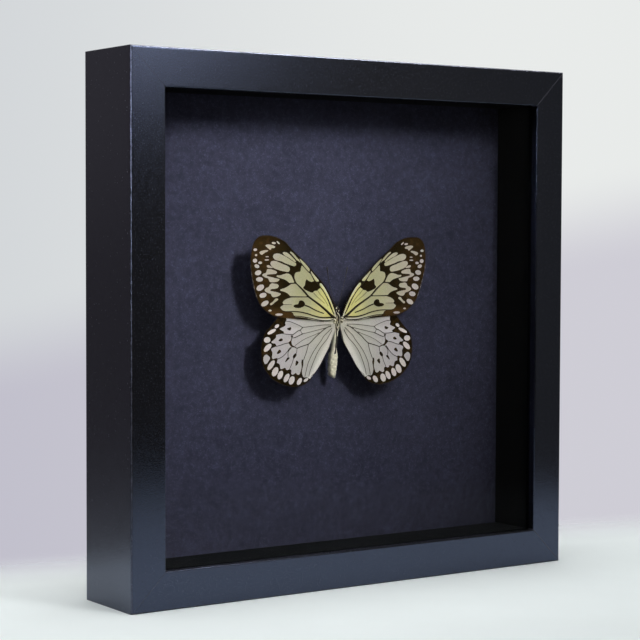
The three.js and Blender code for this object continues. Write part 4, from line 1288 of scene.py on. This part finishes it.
def build_body():
    skin = body_skin(body_scales())
    shell = insect_shell("dark_shell", (0.018, 0.013, 0.01), True)
    eye = insect_shell("eye_shell", (0.03, 0.015, 0.008), False)
    hair = body_hair()
    x, y, z = -0.6, -0.25, CENTRE_Z + 6.15
    parts = [skin]
    for side in (-1, 1):
        parts.append(ball((-0.5 + side * 2.25, -1.3, CENTRE_Z + 1.2), (0.6, 0.7, 1.7),
                          skin.data.materials[0], f"wing_flap_{side}"))
        parts.append(ball((x + side * 1.12, y + 0.15, z), (0.62, 0.85, 0.92), eye, f"eye_{side}"))
        palp = [(x + side * 0.35, y + 0.9, z + 0.2), (x + side * 0.45, y + 0.6, z + 1.2),
                (x + side * 0.5, y + 0.0, z + 1.9), (x + side * 0.5, y - 0.4, z + 2.3)]
        parts.append(limb(f"palp_{side}", palp, [0.26, 0.34, 0.26, 0.1], shell))
        for number, places in enumerate(LEGS):
            line = [(-0.5 + side * a, b - 0.5, CENTRE_Z + c) for a, b, c in places]
            parts.append(limb(f"leg_{number}_{side}", line, LEG_RADII[len(places)], shell))
    coil = np.linspace(0, 4.6 * math.pi, TONGUE_POINTS)
    radius = 0.95 - 0.055 * coil
    spiral = np.column_stack([np.full(TONGUE_POINTS, x), y + 1.9 - radius * np.cos(coil),
                              z - 0.1 + radius * np.sin(coil)])
    places, faces = tube(spiral, np.linspace(0.13, 0.07, TONGUE_POINTS))
    parts.append(mesh_piece("tongue", places, faces, [shell]))
    length = settings().wings.hair_length
    down = (0, 0, -0.9)
    parts.append(grow_hair("body_fur", skin, hair, BODY_HAIR_DENSITY, length, BODY_HAIR_RADIUS, down, 3))
    body = join("butterfly_body_haired", parts)
    in_place(body, "body_scales", "butterfly_body")


# ------------------------------------------------------------------ antennae

ANTENNA_LENGTH = 20.5
ANTENNA_RING = 0.5  # length of one ring


def build_antennae():
    shell = insect_shell("antenna_shell", (0.014, 0.011, 0.009), False)
    for name, side in (("antenna_left", -1), ("antenna_right", 1)):
        share = np.linspace(0, 1, 260)
        low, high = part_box(name)
        root = np.array([1000 * (high.x if side < 0 else low.x), 500 * (low.y + high.y), 1000 * low.z])
        reach = 1000 * (high.x - low.x)
        rise = 1000 * (high.z - low.z)
        bend = share + 0.45 * share * (1 - share)
        line = np.column_stack([root[0] + side * reach * 0.96 * bend,
                                root[1] + 0.5 * np.sin(share * math.pi), root[2] + rise * 0.985 * share])
        club = np.interp(share, [0, 0.04, 0.1, 0.7, 0.82, 0.91, 0.97, 1],
                         [0.22, 0.22, 0.11, 0.12, 0.2, 0.36, 0.34, 0.1])
        rings = 1 + 0.1 * np.sin(2 * math.pi * share * ANTENNA_LENGTH / ANTENNA_RING)
        made = grow_tubes(name + "_ringed", [(line, club * rings)], shell, 10)
        in_place(made, "antenna_black", name)


# ------------------------------------------------------------------ frame and what is in it


def finish_node(name, material):
    data = frame["nodes"][name].data
    data.materials.clear()
    data.materials.append(material)


def finish_frame():
    level, upright = blue_black_foil("foil_level", False), blue_black_foil("foil_upright", True)
    for side in ("top", "bottom"):
        finish_node("rail_" + side, level)
    for side in ("left", "right"):
        finish_node("rail_" + side, upright)


def finish_inside():
    look = matt_lining()
    for side in ("top", "bottom", "left", "right"):
        finish_node("spacer_" + side, look)
    finish_node("mount_board", textured_card())
    finish_node("foam_sheet", white_foam())
    finish_node("back_panel", hardboard())
    finish_node("glass_pane", clear_pane())
    frame["nodes"]["glass_pane"].visible_shadow = False


def finish_fixings():
    look = settings().frame
    steel = plated_metal("zinc_steel", look.steel, 0.34, (0, 0.4, 0))
    for name in frame["nodes"]:
        if name.startswith(("tab_", "v_nail_", "hanger_nail_")):
            finish_node(name, steel)
    finish_node("sawtooth_hanger", plated_metal("brass_plate", look.brass, 0.3, (0, 0, 0)))
    finish_node("mounting_pin", black_enamel())


# ------------------------------------------------------------------ studio


def camera_rotation(azimuth, elevation, roll):
    back = Vector((math.sin(azimuth) * math.cos(elevation), -math.cos(azimuth) * math.cos(elevation),
                   math.sin(elevation)))
    right = Vector((math.cos(azimuth), math.sin(azimuth), 0))
    up = back.cross(right)
    turned = right * math.cos(roll) + up * math.sin(roll)
    return back, Matrix((turned, back.cross(turned), back)).transposed()


def build_camera():
    studio = settings().studio
    data = bpy.data.cameras.new("camera")
    data.sensor_width = 36
    data.lens = studio.lens
    data.clip_start, data.clip_end = 0.02, 30
    camera = new_object("camera", data)
    back, rotation = camera_rotation(studio.azimuth, studio.elevation, studio.roll)
    place = Vector(studio.aim) + back * studio.distance
    camera.matrix_world = Matrix.Translation(place) @ rotation.to_4x4()
    bpy.context.scene.camera = camera


def softbox(name, azimuth, elevation, distance, size, power, spread=180, aim=(0, 0, 0)):
    """A soft light in the given direction from the frame's middle. Its grid narrows it to the spread."""
    data = bpy.data.lights.new(name, "AREA")
    data.shape = "RECTANGLE"
    data.size, data.size_y = size
    data.energy = power
    data.spread = math.radians(spread)
    lamp = new_object(name, data)
    back, _ = camera_rotation(math.radians(azimuth), math.radians(elevation), 0)
    place = Vector((0, 0, CENTRE_Z * MM)) + back * distance
    facing = Vector((aim[0], aim[1], CENTRE_Z + aim[2])) * MM - place
    turn = facing.to_track_quat("-Z", "Y").to_matrix().to_4x4()
    lamp.matrix_world = Matrix.Translation(place) @ turn
    return lamp


def only_glossy(obj):
    """Leaves obj in reflections, but keeps its light off the card and the wings."""
    obj.visible_diffuse = False
    obj.visible_transmission = False


def build_lights():
    studio = settings().studio
    softbox("key_light", 12, 36, 0.58, (0.13, 0.13), studio.key, 42, (-54, 0, 50))
    softbox("top_fill", 0, 88, 1.1, (1.1, 0.9), 2.8, 50)
    glints = [
        softbox("corner_glow", 19.2, 18.1, 1.4, (0.42, 0.42), 0.095, 40, (-120, 0, 115)),
        softbox("side_glint", -62.9, 10, 1.435, (0.2, 0.24), 0.07, 10, (-125, 0, 110)),
        softbox("top_glint", 98.6, 63, 1.18, (0.3, 0.3), 0.17, 16, (-70, 0, 125)),
    ]
    for lamp in glints:
        only_glossy(lamp)


def build_world():
    """Pale backdrop for the camera; the light that falls on the frame comes from a dim room."""
    world = bpy.data.worlds.new("studio")
    world.use_nodes = True
    bpy.context.scene.world = world
    tree = world.node_tree
    tree.nodes.clear()
    new = tree.nodes.new
    way = new("ShaderNodeSeparateXYZ")
    tree.links.new(new("ShaderNodeTexCoord").outputs["Generated"], way.inputs[0])

    def ramp(value, low, high, first, second):
        share = new("ShaderNodeMapRange")
        share.interpolation_type = "SMOOTHSTEP"
        share.inputs["From Min"].default_value, share.inputs["From Max"].default_value = low, high
        tree.links.new(value, share.inputs[0])
        mixed = new("ShaderNodeMix")
        mixed.data_type = "RGBA"
        tree.links.new(share.outputs[0], mixed.inputs[MIX_SHARE])
        for socket, tone in ((mixed.inputs[MIX_FIRST], first), (mixed.inputs[MIX_SECOND], second)):
            if isinstance(tone, bpy.types.NodeSocket):
                tree.links.new(tone, socket)
            else:
                socket.default_value = (*tone, 1)
        return mixed.outputs[MIX_RESULT]

    above = ramp(way.outputs["X"], 0.36, 0.66, (0.64, 0.665, 0.69), (0.81, 0.83, 0.82))
    below = ramp(way.outputs["X"], 0.36, 0.66, (0.53, 0.52, 0.6), (0.62, 0.61, 0.67))
    slope = new("ShaderNodeMath")
    slope.operation = "MULTIPLY_ADD"
    slope.inputs[1].default_value = -0.268
    tree.links.new(way.outputs["X"], slope.inputs[0])
    tree.links.new(way.outputs["Z"], slope.inputs[2])
    seen = ramp(slope.outputs[0], -0.204, -0.149, below, above)
    front = ramp(way.outputs["X"], 0.48, 0.68, (0.012, 0.012, 0.014), (0.16, 0.15, 0.13))
    back = ramp(way.outputs["Z"], -0.03, 0.06, (0.108, 0.094, 0.1), (0.185, 0.163, 0.168))
    room = ramp(way.outputs["Y"], -0.2, 0.4, front, back)
    room = ramp(way.outputs["Z"], 0.25, 0.9, room, (0.14, 0.14, 0.145))
    far_floor = ramp(way.outputs["Y"], 0.0, 0.3, (0.045, 0.045, 0.05), (0.86, 0.9, 0.9))
    room = ramp(way.outputs["Z"], -0.15, -0.215, room, far_floor)
    backgrounds = []
    for tone in (room, seen):
        lit = new("ShaderNodeBackground")
        tree.links.new(tone, lit.inputs["Color"])
        backgrounds.append(lit)
    path = new("ShaderNodeLightPath")
    dimmer = new("ShaderNodeMath")
    dimmer.operation = "MAXIMUM"
    tree.links.new(path.outputs["Is Diffuse Ray"], dimmer.inputs[0])
    tree.links.new(path.outputs["Is Transmission Ray"], dimmer.inputs[1])
    strength = new("ShaderNodeMapRange")
    strength.inputs["To Min"].default_value = 1.0
    strength.inputs["To Max"].default_value = 0.5
    tree.links.new(dimmer.outputs[0], strength.inputs[0])
    tree.links.new(strength.outputs[0], backgrounds[0].inputs["Strength"])
    chosen = new("ShaderNodeMixShader")
    tree.links.new(path.outputs["Is Camera Ray"], chosen.inputs[0])
    tree.links.new(backgrounds[0].outputs[0], chosen.inputs[1])
    tree.links.new(backgrounds[1].outputs[0], chosen.inputs[2])
    tree.links.new(chosen.outputs[0], new("ShaderNodeOutputWorld").inputs[0])


def floor_paper():
    """White paper that fades out behind the frame and far in front of it."""
    made = Finish("floor_paper", specular_ior_level=0.2, roughness=0.7)
    place = made.place()
    x, y, z = made.axes(place)
    tone = made.vary(settings().studio.floor, made.noise(place, 0.02, 3), 0.97, 1.02)
    made.set(base_color=tone, normal=made.bump(made.noise(place, 1.5, 3), 0.0001, 0.2))
    back_edge = made.math("ADD", y, made.math("MULTIPLY", x, 0.17))
    behind = made.steps(back_edge, 135, 40)
    reach = made.node("ShaderNodeVectorMath", {0: place}, operation="LENGTH").outputs["Value"]
    made.set(alpha=made.math("MULTIPLY", behind, made.steps(reach, 430, 310)))
    return made.material


def build_floor():
    reach, cells = 700, 28
    axis = np.linspace(-reach, reach, cells + 1)
    places = [(x, y, 0) for y in axis for x in axis]
    row = cells + 1
    corners = [j * row + i for j in range(cells) for i in range(cells)]
    faces = [(k, k + 1, k + row + 1, k + row) for k in corners]
    floor = mesh_piece("floor", places, faces, [floor_paper()])
    only_glossy(floor)


def build_stage():
    bpy.context.scene.view_settings.view_transform = "Standard"
    build_camera()
    build_lights()
    build_world()
    build_floor()


# ------------------------------------------------------------------ add-on


class SetStage(bpy.types.Operator):
    """Sets the camera, the lights, the backdrop and the floor"""
    bl_idname = "specimen.set_stage"
    bl_label = "Set the stage"

    def execute(self, context):
        build_stage()
        return {"FINISHED"}


class FinishFrame(bpy.types.Operator):
    """Gives the four rails their black foil"""
    bl_idname = "specimen.finish_frame"
    bl_label = "Finish the frame"

    def execute(self, context):
        finish_frame()
        return {"FINISHED"}


class FinishInside(bpy.types.Operator):
    """Finishes the pane, the lining, the card, the foam and the back board"""
    bl_idname = "specimen.finish_inside"
    bl_label = "Finish the pane and the layers"

    def execute(self, context):
        finish_inside()
        return {"FINISHED"}


class FinishFixings(bpy.types.Operator):
    """Finishes the tabs, the V-nails, the hanger, its nails and the pin"""
    bl_idname = "specimen.finish_fixings"
    bl_label = "Finish the fixings"

    def execute(self, context):
        finish_fixings()
        return {"FINISHED"}


class MakeForewings(bpy.types.Operator):
    """Builds both forewings with their markings, veins and fringe"""
    bl_idname = "specimen.make_forewings"
    bl_label = "Make the forewings"

    def execute(self, context):
        build_forewings()
        return {"FINISHED"}


class MakeHindwings(bpy.types.Operator):
    """Builds both hindwings with their markings, veins and fringe"""
    bl_idname = "specimen.make_hindwings"
    bl_label = "Make the hindwings"

    def execute(self, context):
        build_hindwings()
        return {"FINISHED"}


class MakeBody(bpy.types.Operator):
    """Builds the body with its eyes, palps, tongue, legs and hair"""
    bl_idname = "specimen.make_body"
    bl_label = "Make the body"

    def execute(self, context):
        build_body()
        return {"FINISHED"}


class MakeAntennae(bpy.types.Operator):
    """Builds the two ringed antennae"""
    bl_idname = "specimen.make_antennae"
    bl_label = "Make the antennae"

    def execute(self, context):
        build_antennae()
        return {"FINISHED"}


OPERATORS = [SetStage, FinishFrame, FinishInside, FinishFixings, MakeForewings, MakeHindwings, MakeBody,
             MakeAntennae]


class SpecimenPanel(bpy.types.Panel):
    bl_label = "Framed butterfly"
    bl_idname = "VIEW3D_PT_specimen"
    bl_space_type = "VIEW_3D"
    bl_region_type = "UI"
    bl_category = "Specimen"

    def draw(self, context):
        for made in OPERATORS:
            self.layout.operator(made.bl_idname)
        made_of = context.scene.specimen
        for group in (made_of.frame, made_of.wings, made_of.studio):
            box = self.layout.box()
            for name in group.bl_rna.properties.keys():
                if name not in ("rna_type", "name"):
                    box.prop(group, name)


CLASSES = [FrameFinish, SpecimenFinish, StudioSetup, SpecimenSettings, *OPERATORS, SpecimenPanel]


def register():
    for made in CLASSES:
        bpy.utils.register_class(made)
    bpy.types.Scene.specimen = bpy.props.PointerProperty(type=SpecimenSettings)


def unregister():
    del bpy.types.Scene.specimen
    for made in reversed(CLASSES):
        bpy.utils.unregister_class(made)


def main():
    register()
    for made in OPERATORS:
        group, name = made.bl_idname.split(".")
        getattr(getattr(bpy.ops, group), name)()


if __name__ == "__main__":
    main()
